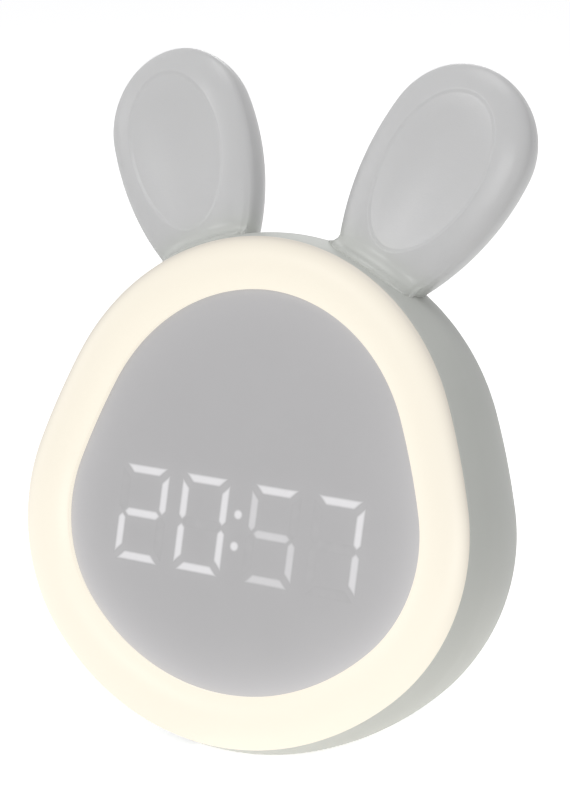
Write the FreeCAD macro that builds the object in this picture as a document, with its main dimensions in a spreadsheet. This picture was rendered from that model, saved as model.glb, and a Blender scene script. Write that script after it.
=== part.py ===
import FreeCAD, Part
import math
import os
import Sketcher
from FreeCAD import Matrix, Placement, Rotation, Vector

# Night-light alarm clock for a child's room: an egg-shaped housing with two ears,
# a glowing ring round a digit display, and the controls on the rear cover.
# The housing leans back. It is drawn in its own frame, called the face frame:
# X to the viewer's right, Y to the back along the display's normal, Z up along the display.
# Every piece gets the same stand placement at the end, which leans the face back
# and sets the rubber feet on Z = 0.

doc = FreeCAD.newDocument("NightLightClock")
sheet = doc.addObject("Spreadsheet::Sheet", "Sizes")
sheetRows = [0]


class Amount:
    # A length with its number and with its formula over the sheet's cells.
    def __init__(self, number, formula):
        self.number = float(number)
        self.formula = formula

    def __float__(self):
        return self.number

    def __neg__(self):
        return Amount(-self.number, "-(%s)" % self.formula)

    def __add__(self, other):
        other = amount(other)
        return Amount(self.number + other.number, "(%s) + (%s)" % (self.formula, other.formula))

    def __radd__(self, other):
        return amount(other) + self

    def __sub__(self, other):
        other = amount(other)
        return Amount(self.number - other.number, "(%s) - (%s)" % (self.formula, other.formula))

    def __rsub__(self, other):
        return amount(other) - self

    def __mul__(self, factor):
        return Amount(self.number * float(factor), "(%s) * %.9f" % (self.formula, float(factor)))

    def __rmul__(self, factor):
        return self * factor

    def __truediv__(self, factor):
        return self * (1.0 / float(factor))


def amount(value):
    if isinstance(value, Amount):
        return value
    return Amount(value, "%.9f" % float(value))


def size(name, number, note):
    sheetRows[0] += 1
    row = sheetRows[0]
    sheet.set("A%d" % row, note)
    sheet.set("B%d" % row, str(number))
    sheet.setAlias("B%d" % row, name)
    return Amount(number, "Sizes." + name)


def bind(thing, prop, value):
    thing.setExpression(prop, amount(value).formula)


# Sizes of the egg outline, a chain of tangent arcs in the face frame
crownRadius = size("crownRadius", 57.2, "radius of the egg's top arc")
crownHeight = size("crownHeight", 13.7, "height of the top arc's centre")
flankRadius = size("flankRadius", 178.0, "radius of the long side arcs")
hipRadius = size("hipRadius", 47.0, "radius of the lower side arcs")
hipSpread = size("hipSpread", 15.4, "half distance between the lower side arcs' centres")
hipHeight = size("hipHeight", 1.3, "height of the lower side arcs' centres")
soleRadius = size("soleRadius", 68.6, "radius of the bottom arc")

# Sizes of the housing
wall = size("wall", 2.2, "housing wall")
rimForward = size("rimForward", 1.0, "front rim ahead of the display plane")
girthDepth = size("girthDepth", 8.0, "depth of the widest section")
girthBulge = size("girthBulge", 1.8, "bulge of the widest section past the rim")
backLength = size("backLength", 41.0, "depth of the rounded back behind the widest section")
backInset = size("backInset", 30.0, "how far the rounded back draws in")
leanBack = size("leanBack", 13.9, "degrees that the face leans back")
baseDrop = size("baseDrop", 53.0, "level of the flat base below the display centre")
fitGap = size("fitGap", 0.15, "gap between pieces that slip together")

# Sizes of the glowing ring and of the display
ringBand = size("ringBand", 12.65, "visible width of the ring")
ringEdge = size("ringEdge", 0.4, "height of the ring's edges over the rim")
ringRise = size("ringRise", 2.0, "rise of the ring's crest over its edges")
ringCeiling = size("ringCeiling", 1.2, "underside of the crest ahead of the display plane")
skirtWall = size("skirtWall", 1.4, "thickness of the ring's skirts")
skirtDepth = size("skirtDepth", 4.0, "how far the skirts reach behind the display plane")
ringLap = size("ringLap", 0.8, "how far the ring's lip laps over the window")
windowThickness = size("windowThickness", 2.0, "display window thickness")
trayDepth = size("trayDepth", 9.0, "front of the tray's plate behind the display plane")
trayThickness = size("trayThickness", 1.6, "tray plate thickness")
baffleWall = size("baffleWall", 1.6, "wall that keeps the ring's light off the display")
boardThickness = size("boardThickness", 1.6, "circuit board thickness")
ringBoardInset = size("ringBoardInset", 4.4, "ring board's outer edge inside the rim")
ledSide = size("ledSide", 3.5, "side of a ring lamp chip")
ledThickness = size("ledThickness", 1.4, "thickness of a ring lamp chip")
LED_COUNT = 24

# Sizes of the digits
digitWidth = size("digitWidth", 11.6, "between the centre lines of a digit's uprights")
digitHeight = size("digitHeight", 21.6, "between the centre lines of its top and bottom bars")
barWidth = size("barWidth", 1.65, "width of a bar")
barGap = size("barGap", 0.5, "gap between neighbouring bars, along the centre lines")
digitPitch = size("digitPitch", 17.6, "between two digits of a pair")
pairGap = size("pairGap", 20.0, "between the two middle digits")
digitShift = size("digitShift", -0.6, "sideways place of the colon")
colonRise = size("colonRise", 3.85, "colon dots above and below the middle")
colonRadius = size("colonRadius", 0.85, "colon dot radius")
frameMargin = size("frameMargin", 4.0, "digit frame beyond the outer bars")
displayBoardMargin = size("displayBoardMargin", 1.5, "display board beyond the digit frame")

# Sizes of the ears
earSplay = size("earSplay", 26.8, "degrees that an ear leans outwards")
earTilt = size("earTilt", 2.6, "degrees that an ear leans back from the face")
earOut = size("earOut", 20.0, "ear's root out from the middle")
earUp = size("earUp", 58.9, "ear's root above the display centre")
earBack = size("earBack", 8.8, "ear's root behind the display plane")
earLength = size("earLength", 62.0, "ear from its root to its tip")
earRootRadius = size("earRootRadius", 13.6, "ear's half width at the root end")
earTipRadius = size("earTipRadius", 19.5, "ear's half width at the tip end")
earSideRadius = size("earSideRadius", 65.0, "radius of the ear's sides")
earFront = size("earFront", 0.29, "front bulge over half width")
earRear = size("earRear", 0.94, "rear bulge over half width")
earWall = size("earWall", 2.0, "ear wall")
dishUp = size("dishUp", 34.7, "inner-ear dish above the root")
dishLength = size("dishLength", 21.0, "half length of the dish")
dishWidth = size("dishWidth", 13.1, "half width of the dish")
dishFloor = size("dishFloor", 1.6, "dish floor ahead of the ear's widest plane")
dishRound = size("dishRound", 2.2, "round between dish floor and wall")
spigotRadius = size("spigotRadius", 4.0, "ear spigot radius")
spigotBack = size("spigotBack", 8.5, "ear spigot behind the ear's widest plane")
spigotFoot = size("spigotFoot", 5.0, "spigot's lower end above the ear's root")
neckSolid = size("neckSolid", 17.0, "height of the solid neck above the root")
bossWall = size("bossWall", 2.0, "plastic round the ear's spigot")
bossFloor = size("bossFloor", 0.5, "how far that boss reaches past the spigot's end")

# Sizes of the rear cover and its controls
coverInset = size("coverInset", 29.5, "cover recess inside the egg outline")
coverThickness = size("coverThickness", 2.0, "rear cover thickness")
ledgeWidth = size("ledgeWidth", 4.5, "ledge that the cover rests on")
ledgeThickness = size("ledgeThickness", 2.5, "thickness of that ledge")
standoffHeight = size("standoffHeight", 4.2, "main board's distance from the cover")
boardReach = size("boardReach", 25.0, "half width of the main board")
boardTop = size("boardTop", 4.0, "main board's upper edge above the display centre's level")
boardDrop = size("boardDrop", 13.0, "main board's lower edge below that level")
boardCorner = size("boardCorner", 9.0, "main board's cut lower corners")
chipSide = size("chipSide", 9.0, "clock chip side")
chipThickness = size("chipThickness", 1.2, "clock chip thickness")
coinRadius = size("coinRadius", 5.0, "backup cell radius")
coinThickness = size("coinThickness", 2.0, "backup cell thickness")
clipThickness = size("clipThickness", 0.8, "thickness of the backup cell's clip")
plugWidth = size("plugWidth", 14.0, "flat cable connector width")
plugHeight = size("plugHeight", 3.0, "flat cable connector height")
plugThickness = size("plugThickness", 2.2, "flat cable connector thickness")
filmThickness = size("filmThickness", 0.3, "flat cable thickness")
buttonRadius = size("buttonRadius", 3.3, "push button radius")
buttonPitch = size("buttonPitch", 10.0, "between push buttons")
buttonProud = size("buttonProud", 1.5, "push button beyond the cover")
buttonFlange = size("buttonFlange", 4.2, "radius of the flange that keeps a button in")
buttonTravel = size("buttonTravel", 0.5, "push button travel")
buttonGap = size("buttonGap", 0.25, "gap round a button in its hole")
switchDrop = size("switchDrop", 9.5, "slide switch and charging socket below the buttons")
switchOut = size("switchOut", 9.0, "slide switch and charging socket out from the middle")
switchTravel = size("switchTravel", 3.0, "slide switch travel")
switchLength = size("switchLength", 9.0, "slide switch case length")
switchWidth = size("switchWidth", 3.8, "slide switch case width")
knobLength = size("knobLength", 2.2, "slide switch knob length")
knobWidth = size("knobWidth", 2.0, "slide switch knob width")
knobProud = size("knobProud", 1.2, "slide switch knob beyond the cover")
guideLength = size("guideLength", 6.4, "knob's guide plate length")
guideWidth = size("guideWidth", 3.4, "knob's guide plate width")
guideThickness = size("guideThickness", 0.9, "knob's guide plate and buttons' flanges, thickness")
tactSide = size("tactSide", 4.5, "push switch case side")
tactHeight = size("tactHeight", 1.0, "push switch case height")
tactPlunger = size("tactPlunger", 0.5, "push switch plunger height")
socketWidth = size("socketWidth", 8.94, "charging socket width, standard")
socketHeight = size("socketHeight", 3.26, "charging socket height, standard")
socketWall = size("socketWall", 0.3, "charging socket's sheet metal")
socketGap = size("socketGap", 0.32, "gap round the charging socket")
speakerUp = size("speakerUp", 19.5, "speaker's height on the cover")
speakerRadius = size("speakerRadius", 14.0, "speaker frame radius")
speakerRim = size("speakerRim", 1.2, "thickness of the speaker's rim, and of its clamp")
gasketThickness = size("gasketThickness", 0.8, "thickness of the ring under the speaker")
basketDepth = size("basketDepth", 2.0, "depth of the speaker's basket behind its rim")
magnetDepth = size("magnetDepth", 3.0, "depth of the speaker's magnet")
grillePitch = size("grillePitch", 4.0, "between the rings of grille holes")
grilleHole = size("grilleHole", 0.8, "grille hole radius")

# Sizes of the power pieces and of what the clock stands on
cellRadius = size("cellRadius", 9.2, "battery cell radius")
cellLength = size("cellLength", 65.0, "battery cell length")
cellDrop = size("cellDrop", 20.0, "battery cell below the display centre")
cellNub = size("cellNub", 1.0, "height of the cell's positive end")
cradleWall = size("cradleWall", 1.7, "cradle wall round the battery cell")
cradleTab = size("cradleTab", 2.0, "thickness of the cradle's screw tabs")
cradleEnd = size("cradleEnd", 4.0, "cradle beyond each end of the battery cell")
cradleTabReach = size("cradleTabReach", 5.5, "cradle's screw tabs beyond its ends")
cradleTabWidth = size("cradleTabWidth", 8.0, "width of the cradle's screw tabs")
contactThickness = size("contactThickness", 0.4, "battery contact thickness")
contactWidth = size("contactWidth", 8.0, "battery contact width")
strapWidth = size("strapWidth", 10.0, "battery strap width")
strapThickness = size("strapThickness", 0.8, "battery strap thickness")
ballastWidth = size("ballastWidth", 24.0, "steel weight, across")
ballastDepth = size("ballastDepth", 18.0, "steel weight, front to back")
ballastHeight = size("ballastHeight", 8.0, "steel weight, height")
ballastBack = size("ballastBack", 1.5, "steel weight's front edge behind the display centre")
frontFootOut = size("frontFootOut", 15.0, "front feet out from the middle")
frontFootBack = size("frontFootBack", 6.5, "front feet behind the display centre")
rearFootOut = size("rearFootOut", 14.0, "rear feet out from the middle")
rearFootBack = size("rearFootBack", 30.0, "rear feet behind the display centre")
footRadius = size("footRadius", 4.5, "rubber foot radius")
footProud = size("footProud", 1.0, "rubber foot below the base")
footSunk = size("footSunk", 0.6, "depth of a foot's seat")
stubWall = size("stubWall", 1.5, "plastic round a rear foot's pad")
stubHeight = size("stubHeight", 11.0, "height of the rear feet's stubs")
screwRadius = size("screwRadius", 1.0, "small screw's shank radius")
headRadius = size("headRadius", 1.9, "small screw's head radius")
headHeight = size("headHeight", 1.2, "small screw's head height")
screwGrip = size("screwGrip", 6.0, "small screw's length in its pillar")
pilotSpare = size("pilotSpare", 1.0, "pilot hole beyond a screw's end")
pillarWall = size("pillarWall", 2.0, "plastic round a pilot hole")
postRadius = size("postRadius", 2.0, "radius of the rear cover's posts")
postMargin = size("postMargin", 2.5, "board screws inside the main board's edges")
screwEase = size("screwEase", 0.2, "gap round a screw's shank or head in a clearance hole")
earScrewRadius = size("earScrewRadius", 1.28, "ear screw's shank radius")
earScrewLength = size("earScrewLength", 12.0, "ear screw's shank length")
washerThickness = size("washerThickness", 1.0, "ear washer thickness")
washerLap = size("washerLap", 1.5, "ear washer beyond the spigot's radius")


def cosine(angle):
    return math.cos(math.radians(float(angle)))


def sine(angle):
    return math.sin(math.radians(float(angle)))


# Depths that several pieces share
rimDepth = -rimForward
trayBack = trayDepth + trayThickness
boardFront = trayDepth - boardThickness
backDepth = girthDepth + backLength
coverFront = backDepth - coverThickness
mainBoardBack = coverFront - standoffHeight
mainBoardFront = mainBoardBack - boardThickness
openingInset = coverInset + ledgeWidth
windowInset = ringBand - ringLap + fitGap
baffleInset = windowInset + 0.4
displayInset = baffleInset + baffleWall


# The egg outline: turn is measured in degrees clockwise from the top
def eggChain():
    # Centres and joining turns of the right-hand half of the chain.
    crown = (0.0, float(crownHeight))
    hip = (float(hipSpread), float(hipHeight))
    toCrown = float(flankRadius - crownRadius)
    toHip = float(flankRadius - hipRadius)
    span = math.hypot(hip[0] - crown[0], hip[1] - crown[1])
    along = (toCrown ** 2 - toHip ** 2 + span ** 2) / (2 * span)
    aside = math.sqrt(toCrown ** 2 - along ** 2)
    unit = ((hip[0] - crown[0]) / span, (hip[1] - crown[1]) / span)
    flank = (crown[0] + along * unit[0] + aside * unit[1],
             crown[1] + along * unit[1] - aside * unit[0])
    sole = (0.0, hip[1] + math.sqrt(float(soleRadius - hipRadius) ** 2 - hip[0] ** 2))
    crownEnd = math.degrees(math.atan2(crown[0] - flank[0], crown[1] - flank[1]))
    flankEnd = math.degrees(math.atan2(hip[0] - flank[0], hip[1] - flank[1]))
    hipEnd = math.degrees(math.atan2(hip[0] - sole[0], hip[1] - sole[1]))
    return [
        (crown, crownRadius, 0.0, crownEnd),
        (flank, flankRadius, crownEnd, flankEnd),
        (hip, hipRadius, flankEnd, hipEnd),
        (sole, soleRadius, hipEnd, 180.0),
    ]


CHAIN = eggChain()


def eggPoint(turn, inset):
    # A point of the outline, drawn in by inset, where the outline's normal has this turn.
    side = -1.0 if turn < 0 else 1.0
    for centre, radius, low, high in CHAIN:
        if abs(turn) <= high + 1e-9:
            reach = float(radius) - float(inset)
            return (side * (centre[0] + reach * sine(abs(turn))), centre[1] + reach * cosine(turn))
    return (0.0, 0.0)


def eggWalk(share, inset):
    # The turn of the normal after a share of half the outline's length, from the top down,
    # on the right for a positive share and on the left for a negative one.
    if share < 0:
        return -eggWalk(-share, inset)
    lengths = [math.radians(high - low) * (float(radius) - float(inset))
               for centre, radius, low, high in CHAIN]
    left = share * sum(lengths)
    for length, (centre, radius, low, high) in zip(lengths, CHAIN):
        if left <= length:
            return low + (high - low) * left / length
        left -= length
    return 180.0


def eggLoop(sketch, inset):
    # One closed egg of seven tangent arcs, every radius bound to the sheet.
    inset = amount(inset)
    crown, flank, hip, sole = CHAIN
    placed = [
        (crown, 1, 90 - crown[3], 90.0),
        (flank, 1, 90 - flank[3], 90 - flank[2]),
        (hip, 1, 90 - hip[3], 90 - hip[2]),
        (sole, 1, sole[2] - 270, 90 - sole[2]),
        (hip, -1, 90 + hip[2], 90 + hip[3]),
        (flank, -1, 90 + flank[2], 90 + flank[3]),
        (crown, -1, 90.0, 90 + crown[3]),
    ]
    arcs = []
    for (centre, radius, low, high), side, start, end in placed:
        circle = Part.Circle(Vector(side * centre[0], centre[1], 0), Vector(0, 0, 1), float(radius - inset))
        arc = Part.ArcOfCircle(circle, math.radians(start), math.radians(end))
        arcs.append(sketch.addGeometry(arc, False))
    for first, firstEnd, second, secondEnd in ((0, 1, 1, 2), (1, 1, 2, 2), (2, 1, 3, 2),
                                               (3, 1, 4, 2), (4, 1, 5, 2), (5, 1, 6, 2)):
        sketch.addConstraint(Sketcher.Constraint("Tangent", arcs[first], firstEnd, arcs[second], secondEnd))
    sketch.addConstraint(Sketcher.Constraint("Coincident", arcs[0], 2, arcs[6], 1))
    sketch.addConstraint(Sketcher.Constraint("Coincident", arcs[0], 3, arcs[6], 3))
    sketch.addConstraint(Sketcher.Constraint("PointOnObject", arcs[0], 2, -2))
    sketch.addConstraint(Sketcher.Constraint("PointOnObject", arcs[0], 3, -2))
    for arc, radius in ((0, crownRadius), (1, flankRadius), (2, hipRadius), (3, soleRadius),
                        (4, hipRadius), (5, flankRadius)):
        limit = sketch.addConstraint(Sketcher.Constraint("Radius", arcs[arc], float(radius - inset)))
        bind(sketch, "Constraints[%d]" % limit, radius - inset)
    for arc, axis, reach in ((0, "DistanceY", crownHeight), (2, "DistanceX", hipSpread),
                             (2, "DistanceY", hipHeight), (4, "DistanceY", hipHeight)):
        limit = sketch.addConstraint(Sketcher.Constraint(axis, -1, 1, arcs[arc], 3, float(reach)))
        bind(sketch, "Constraints[%d]" % limit, reach)
    limit = sketch.addConstraint(Sketcher.Constraint("DistanceX", arcs[4], 3, -1, 1, float(hipSpread)))
    bind(sketch, "Constraints[%d]" % limit, hipSpread)


# Helpers that make document objects
def newBody(name):
    body = doc.addObject("PartDesign::Body", name)
    body.Label = name
    return body


def planeOf(body, role):
    return [plane for plane in body.Origin.OriginFeatures if plane.Role == role][0]


def newSketch(body, name, role="XZ_Plane"):
    sketch = body.newObject("Sketcher::SketchObject", name)
    sketch.AttachmentSupport = (planeOf(body, role), [""])
    sketch.MapMode = "FlatFace"
    return sketch


def faceSketch(body, name, depth):
    # A sketch parallel to the display, this far behind the display plane.
    sketch = newSketch(body, name)
    bind(sketch, ".AttachmentOffset.Base.z", -amount(depth))
    return sketch


def eggPlate(name, front, length, inset, hole=None):
    # A plate with the egg's outline, drawn in by inset, with an egg-shaped hole if asked.
    body = newBody(name)
    sketch = faceSketch(body, name + "_outline", front)
    eggLoop(sketch, inset)
    if hole is not None:
        eggLoop(sketch, hole)
    pad = body.newObject("PartDesign::Pad", name + "_pad")
    pad.Profile = sketch
    pad.Reversed = True
    bind(pad, "Length", length)
    return body


def eggLoft(name, sections):
    # A body lofted through egg outlines, each given as depth and inset.
    body = newBody(name)
    outlines = []
    for number, (depth, inset) in enumerate(sections):
        sketch = faceSketch(body, "%s_section_%d" % (name, number), depth)
        eggLoop(sketch, inset)
        outlines.append(sketch)
    loft = body.newObject("PartDesign::AdditiveLoft", name + "_loft")
    loft.Profile = outlines[0]
    loft.Sections = outlines[1:]
    loft.Ruled = False
    return body


def block(name, low, reach):
    # A box from its low corner, along X, Y and Z of the face frame.
    box = doc.addObject("Part::Box", name)
    for prop, value in zip(("Length", "Width", "Height"), reach):
        bind(box, prop, value)
    for axis, value in zip("xyz", low):
        bind(box, ".Placement.Base." + axis, value)
    return box


def rod(name, radius, centre, front, length):
    # A round bar along the depth, with its centre given across and up.
    bar = doc.addObject("Part::Cylinder", name)
    bar.Placement = Placement(Vector(0, 0, 0), Rotation(Vector(1, 0, 0), -90))
    bind(bar, "Radius", radius)
    bind(bar, "Height", length)
    for axis, value in zip("xyz", (centre[0], front, centre[1])):
        bind(bar, ".Placement.Base." + axis, value)
    return bar


def slantRod(name, radius, length, placement, lift):
    # A round bar along the Z axis of a placement, starting lift above its origin.
    bar = doc.addObject("Part::Cylinder", name)
    bar.Placement = placement.multiply(Placement(Vector(0, 0, float(lift)), Rotation()))
    bind(bar, "Radius", radius)
    bind(bar, "Height", length)
    return bar


def fuse(name, shapes):
    joined = doc.addObject("Part::MultiFuse", name)
    joined.Shapes = shapes
    joined.Label = name
    return joined


def gather(name, pieces):
    # One or more pieces that stay separate solids under one name.
    group = doc.addObject("Part::Compound", name)
    group.Links = pieces
    group.Label = name
    return group


def cut(name, base, tool):
    result = doc.addObject("Part::Cut", name)
    result.Base = base
    result.Tool = tool
    result.Label = name
    return result


def common(name, first, second):
    result = doc.addObject("Part::MultiCommon", name)
    result.Shapes = [first, second]
    result.Label = name
    return result


def plain(name, shape):
    feature = doc.addObject("Part::Feature", name)
    feature.Shape = shape
    feature.Label = name
    return feature


def levelPoint(across, back, up):
    # A point given in the standing clock's level directions, in the face frame.
    lean = float(leanBack)
    return Vector(float(across),
                  float(back) * cosine(lean) - float(up) * sine(lean),
                  float(back) * sine(lean) + float(up) * cosine(lean))


LEVEL = Rotation(Vector(1, 0, 0), float(leanBack))


# Screws: a round head with a cross recess on a plain shank, drawn along +Z with the head on top
def screwShape(shank, length, head, height):
    body = Part.makeCylinder(shank, length, Vector(0, 0, -length))
    cap = Part.makeCylinder(head, height).fuse(body)
    slot = head * 1.1
    arm = head * 0.28
    depth = height * 0.5
    long = Part.makeBox(slot, arm, depth * 2, Vector(-slot / 2, -arm / 2, height - depth))
    wide = Part.makeBox(arm, slot, depth * 2, Vector(-arm / 2, -slot / 2, height - depth))
    return cap.cut(long.fuse(wide)).removeSplitter()


def screwSet(name, placements, shank, length, head, height):
    shape = screwShape(float(shank), float(length), float(head), float(height))
    placed = []
    for placement in placements:
        copy = shape.copy()
        copy.Placement = placement
        placed.append(copy)
    return plain(name, Part.makeCompound(placed))


def facing(point, depth, backwards=True):
    # Placement of a screw whose head looks to the back, or to the front.
    turn = Rotation(Vector(1, 0, 0), -90 if backwards else 90)
    return Placement(Vector(float(point[0]), float(depth), float(point[1])), turn)


# Housing: lofted egg with a rounded back, cut flat where it stands
def housingSections(skin, start):
    sections = []
    for share in start:
        depth = rimDepth + (girthDepth + rimForward) * share
        sections.append((depth, skin - girthBulge * sine(90 * share)))
    for turn in (18, 36, 54, 72, 90):
        depth = girthDepth + (backLength - skin) * sine(turn)
        sections.append((depth, skin - girthBulge + (backInset - skin) * (1 - cosine(turn))))
    return sections


def cutBelow(body, drop):
    # Removes what lies below a level plane of the standing clock.
    before = body.Shape.Volume if body.Shape.Solids else 0
    sketch = newSketch(body, body.Name + "_base", "XY_Plane")
    sketch.AttachmentOffset = Placement(levelPoint(0, 0, -float(drop)), LEVEL)
    reach = float(crownRadius + backLength) * 2
    corners = [Vector(-reach, -reach, 0), Vector(reach, -reach, 0),
               Vector(reach, reach, 0), Vector(-reach, reach, 0)]
    for number in range(4):
        sketch.addGeometry(Part.LineSegment(corners[number], corners[(number + 1) % 4]), False)
    for number in range(4):
        sketch.addConstraint(Sketcher.Constraint("Coincident", number, 2, (number + 1) % 4, 1))
    pocket = body.newObject("PartDesign::Pocket", body.Name + "_flat")
    pocket.Profile = sketch
    pocket.Length = 200
    doc.recompute()
    print("%s: %.0f mm3 before the base cut, %.0f after" % (body.Name, before, body.Shape.Volume))


housingForm = eggLoft("housing_form", housingSections(amount(0), (0, 1 / 3, 2 / 3, 1)))
housingHollow = eggLoft("housing_hollow", housingSections(wall, (-0.25, 0, 1 / 3, 2 / 3, 1)))
doc.recompute()
cutBelow(housingForm, baseDrop)
cutBelow(housingHollow, baseDrop - wall)

# Feet: two rubber pads near the front of the flat base and two on short stubs behind it
FEET = [(-frontFootOut, frontFootBack, False), (frontFootOut, frontFootBack, False),
        (-rearFootOut, rearFootBack, True), (rearFootOut, rearFootBack, True)]
stubs = []
footSeats = []
footPads = []
for number, (across, back, stub) in enumerate(FEET):
    if stub:
        spot = Placement(levelPoint(across, back, -baseDrop), LEVEL)
        stubs.append(slantRod("foot_stub_%d" % number, footRadius + stubWall, stubHeight, spot, 0))
    spot = Placement(levelPoint(across, back, -baseDrop - footProud), LEVEL)
    footSeats.append(slantRod("foot_seat_%d" % number, footRadius + fitGap, footProud + footSunk, spot, 0))
    footPads.append(slantRod("foot_pad_%d" % number, footRadius, footProud + footSunk, spot, 0))
footPadsNode = gather("foot_pads", footPads)

# Ledge and pillars inside the housing
TRAY_SHARES = (-10, -6, -3, 3, 6, 10)
COVER_TURNS = (-140, -50, 50, 140)
pillarInset = ringBoardInset + 3.0
trayScrewSpots = [eggPoint(eggWalk(share / 12, pillarInset), pillarInset) for share in TRAY_SHARES]
coverScrewSpots = [eggPoint(turn, coverInset + ledgeWidth * 0.53) for turn in COVER_TURNS]
pillars = [
    eggPlate("cover_ledge", coverFront - ledgeThickness, ledgeThickness, backInset * 0.57, openingInset),
]
pillarRadius = screwRadius + pillarWall
pilotDepth = screwGrip + pilotSpare
pilots = []
for number, spot in enumerate(trayScrewSpots):
    pillars.append(rod("tray_pillar_%d" % number, pillarRadius, spot, trayBack, backLength - trayThickness))
    pilots.append(rod("tray_pilot_%d" % number, screwRadius, spot, trayBack - 1, pilotDepth + 1))
for number, spot in enumerate(coverScrewSpots):
    pillars.append(rod("cover_pillar_%d" % number, pillarRadius, spot, coverFront - pilotDepth - 1,
                       pilotDepth + 1))
    pilots.append(rod("cover_pilot_%d" % number, screwRadius, spot, coverFront - pilotDepth, pilotDepth + 1))

# Ears: a revolved egg flattened in front and full behind, on a spigot through the housing
EAR_TURNS = {
    "left": Rotation(Vector(0, 1, 0), -float(earSplay)).multiply(Rotation(Vector(1, 0, 0), -float(earTilt))),
    "right": Rotation(Vector(0, 1, 0), float(earSplay)).multiply(Rotation(Vector(1, 0, 0), -float(earTilt))),
}


def earPlacement(side):
    sign = 1 if side == "right" else -1
    return Placement(Vector(sign * float(earOut), float(earBack), float(earUp)), EAR_TURNS[side])


def spigotPlacement(side):
    # The axis of the ear's spigot, screw and washer, a little behind the ear's own axis.
    return earPlacement(side).multiply(Placement(Vector(0, float(spigotBack), 0), Rotation()))


def earHalf(skin, factor, start):
    # Half of a turned egg, squashed in depth; start 0 gives the rear half, 180 the front one.
    root = float(earRootRadius - skin)
    tip = float(earTipRadius - skin)
    side = float(earSideRadius - skin)
    rootUp = float(earRootRadius)
    tipUp = float(earLength - earTipRadius)
    span = tipUp - rootUp
    along = ((side - root) ** 2 - (side - tip) ** 2 + span ** 2) / (2 * span)
    aside = math.sqrt((side - root) ** 2 - along ** 2)
    centre = (-aside, rootUp + along)
    lowTurn = math.atan2(rootUp - centre[1], -centre[0])
    highTurn = math.atan2(tipUp - centre[1], -centre[0])
    quarter = math.pi / 2

    def onArc(middle, radius, turn):
        return Vector(middle[0] + radius * math.cos(turn), 0, middle[1] + radius * math.sin(turn))

    bottom = Vector(0, 0, rootUp - root)
    top = Vector(0, 0, tipUp + tip)
    low = onArc((0, rootUp), root, lowTurn)
    high = onArc((0, tipUp), tip, highTurn)
    outline = Part.Wire([
        Part.Arc(bottom, onArc((0, rootUp), root, (lowTurn - quarter) / 2), low).toShape(),
        Part.Arc(low, onArc(centre, side, (lowTurn + highTurn) / 2), high).toShape(),
        Part.Arc(high, onArc((0, tipUp), tip, (highTurn + quarter) / 2), top).toShape(),
        Part.makeLine(top, bottom),
    ])
    half = Part.Face(outline).revolve(Vector(0, 0, 0), Vector(0, 0, 1), 180)
    squash = Matrix()
    squash.A22 = float(factor)
    half = half.transformGeometry(squash)
    half.rotate(Vector(0, 0, 0), Vector(0, 0, 1), start)
    return half


def dishTool():
    # Oval cutter from the front, with a round between its flat floor and its wall.
    floor = -float(dishFloor)
    oval = Part.Wire(Part.Ellipse(Vector(0, 0, 0), float(dishLength), float(dishWidth)).toShape())
    upright = Rotation(Vector(0, 0, 1), Vector(1, 0, 0), Vector(0, 1, 0), "ZXY")
    oval.Placement = Placement(Vector(0, floor, float(dishUp)), upright)
    tool = Part.Face(oval).extrude(Vector(0, -float(earTipRadius), 0))
    rim = [edge for edge in tool.Edges if edge.BoundBox.YMin > floor - 0.001]
    return tool.makeFillet(float(dishRound), rim)


def earShape(side):
    # The ear sits on the housing; only its spigot goes through.
    placement = earPlacement(side)
    ear = earHalf(amount(0), earRear, 0).fuse(earHalf(amount(0), earFront, 180))
    ear = ear.cut(dishTool())
    reach = float(earLength)
    hollowFront = float(earWall - dishFloor)
    keep = Part.makeBox(reach, reach, reach, Vector(-reach / 2, hollowFront, float(neckSolid)))
    ear = ear.cut(earHalf(earWall, earRear, 0).common(keep))
    ear.Placement = placement
    ear = ear.cut(housingForm.Shape)
    foot = float(spigotFoot)
    spigot = Part.makeCylinder(float(spigotRadius), float(neckSolid) - 6.0, Vector(0, 0, foot))
    spigot.Placement = spigotPlacement(side)
    pilot = Part.makeCylinder(float(earScrewRadius) + 0.02, float(earScrewLength), Vector(0, 0, foot - 1))
    pilot.Placement = spigotPlacement(side)
    return ear.fuse(spigot).cut(pilot)


doc.recompute()
leftEar = plain("left_ear", earShape("left"))
rightEar = plain("right_ear", earShape("right"))
earBosses = []
earHoles = []
for side in ("left", "right"):
    spigot = spigotPlacement(side)
    earBosses.append(slantRod(side + "_ear_boss", spigotRadius + bossWall, neckSolid - spigotFoot,
                              spigot, spigotFoot - bossFloor))
    earHoles.append(slantRod(side + "_ear_hole", spigotRadius + fitGap, neckSolid + 7.0, spigot, -4))

# The housing put together
housingWalls = cut("housing_walls", fuse("housing_block", [housingForm] + stubs), housingHollow)
innerParts = common("housing_inner", fuse("housing_pillars", pillars + earBosses), housingForm)
coverRecess = eggPlate("cover_recess", coverFront, coverThickness + 1, coverInset)
coverOpening = eggPlate("cover_opening", coverFront - ledgeThickness - 1, ledgeThickness + 3, openingInset)
housingCuts = fuse("housing_cuts", footSeats + pilots + earHoles + [coverRecess, coverOpening])
mainShell = cut("main_shell", fuse("housing_full", [housingWalls, innerParts]), housingCuts)

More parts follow.
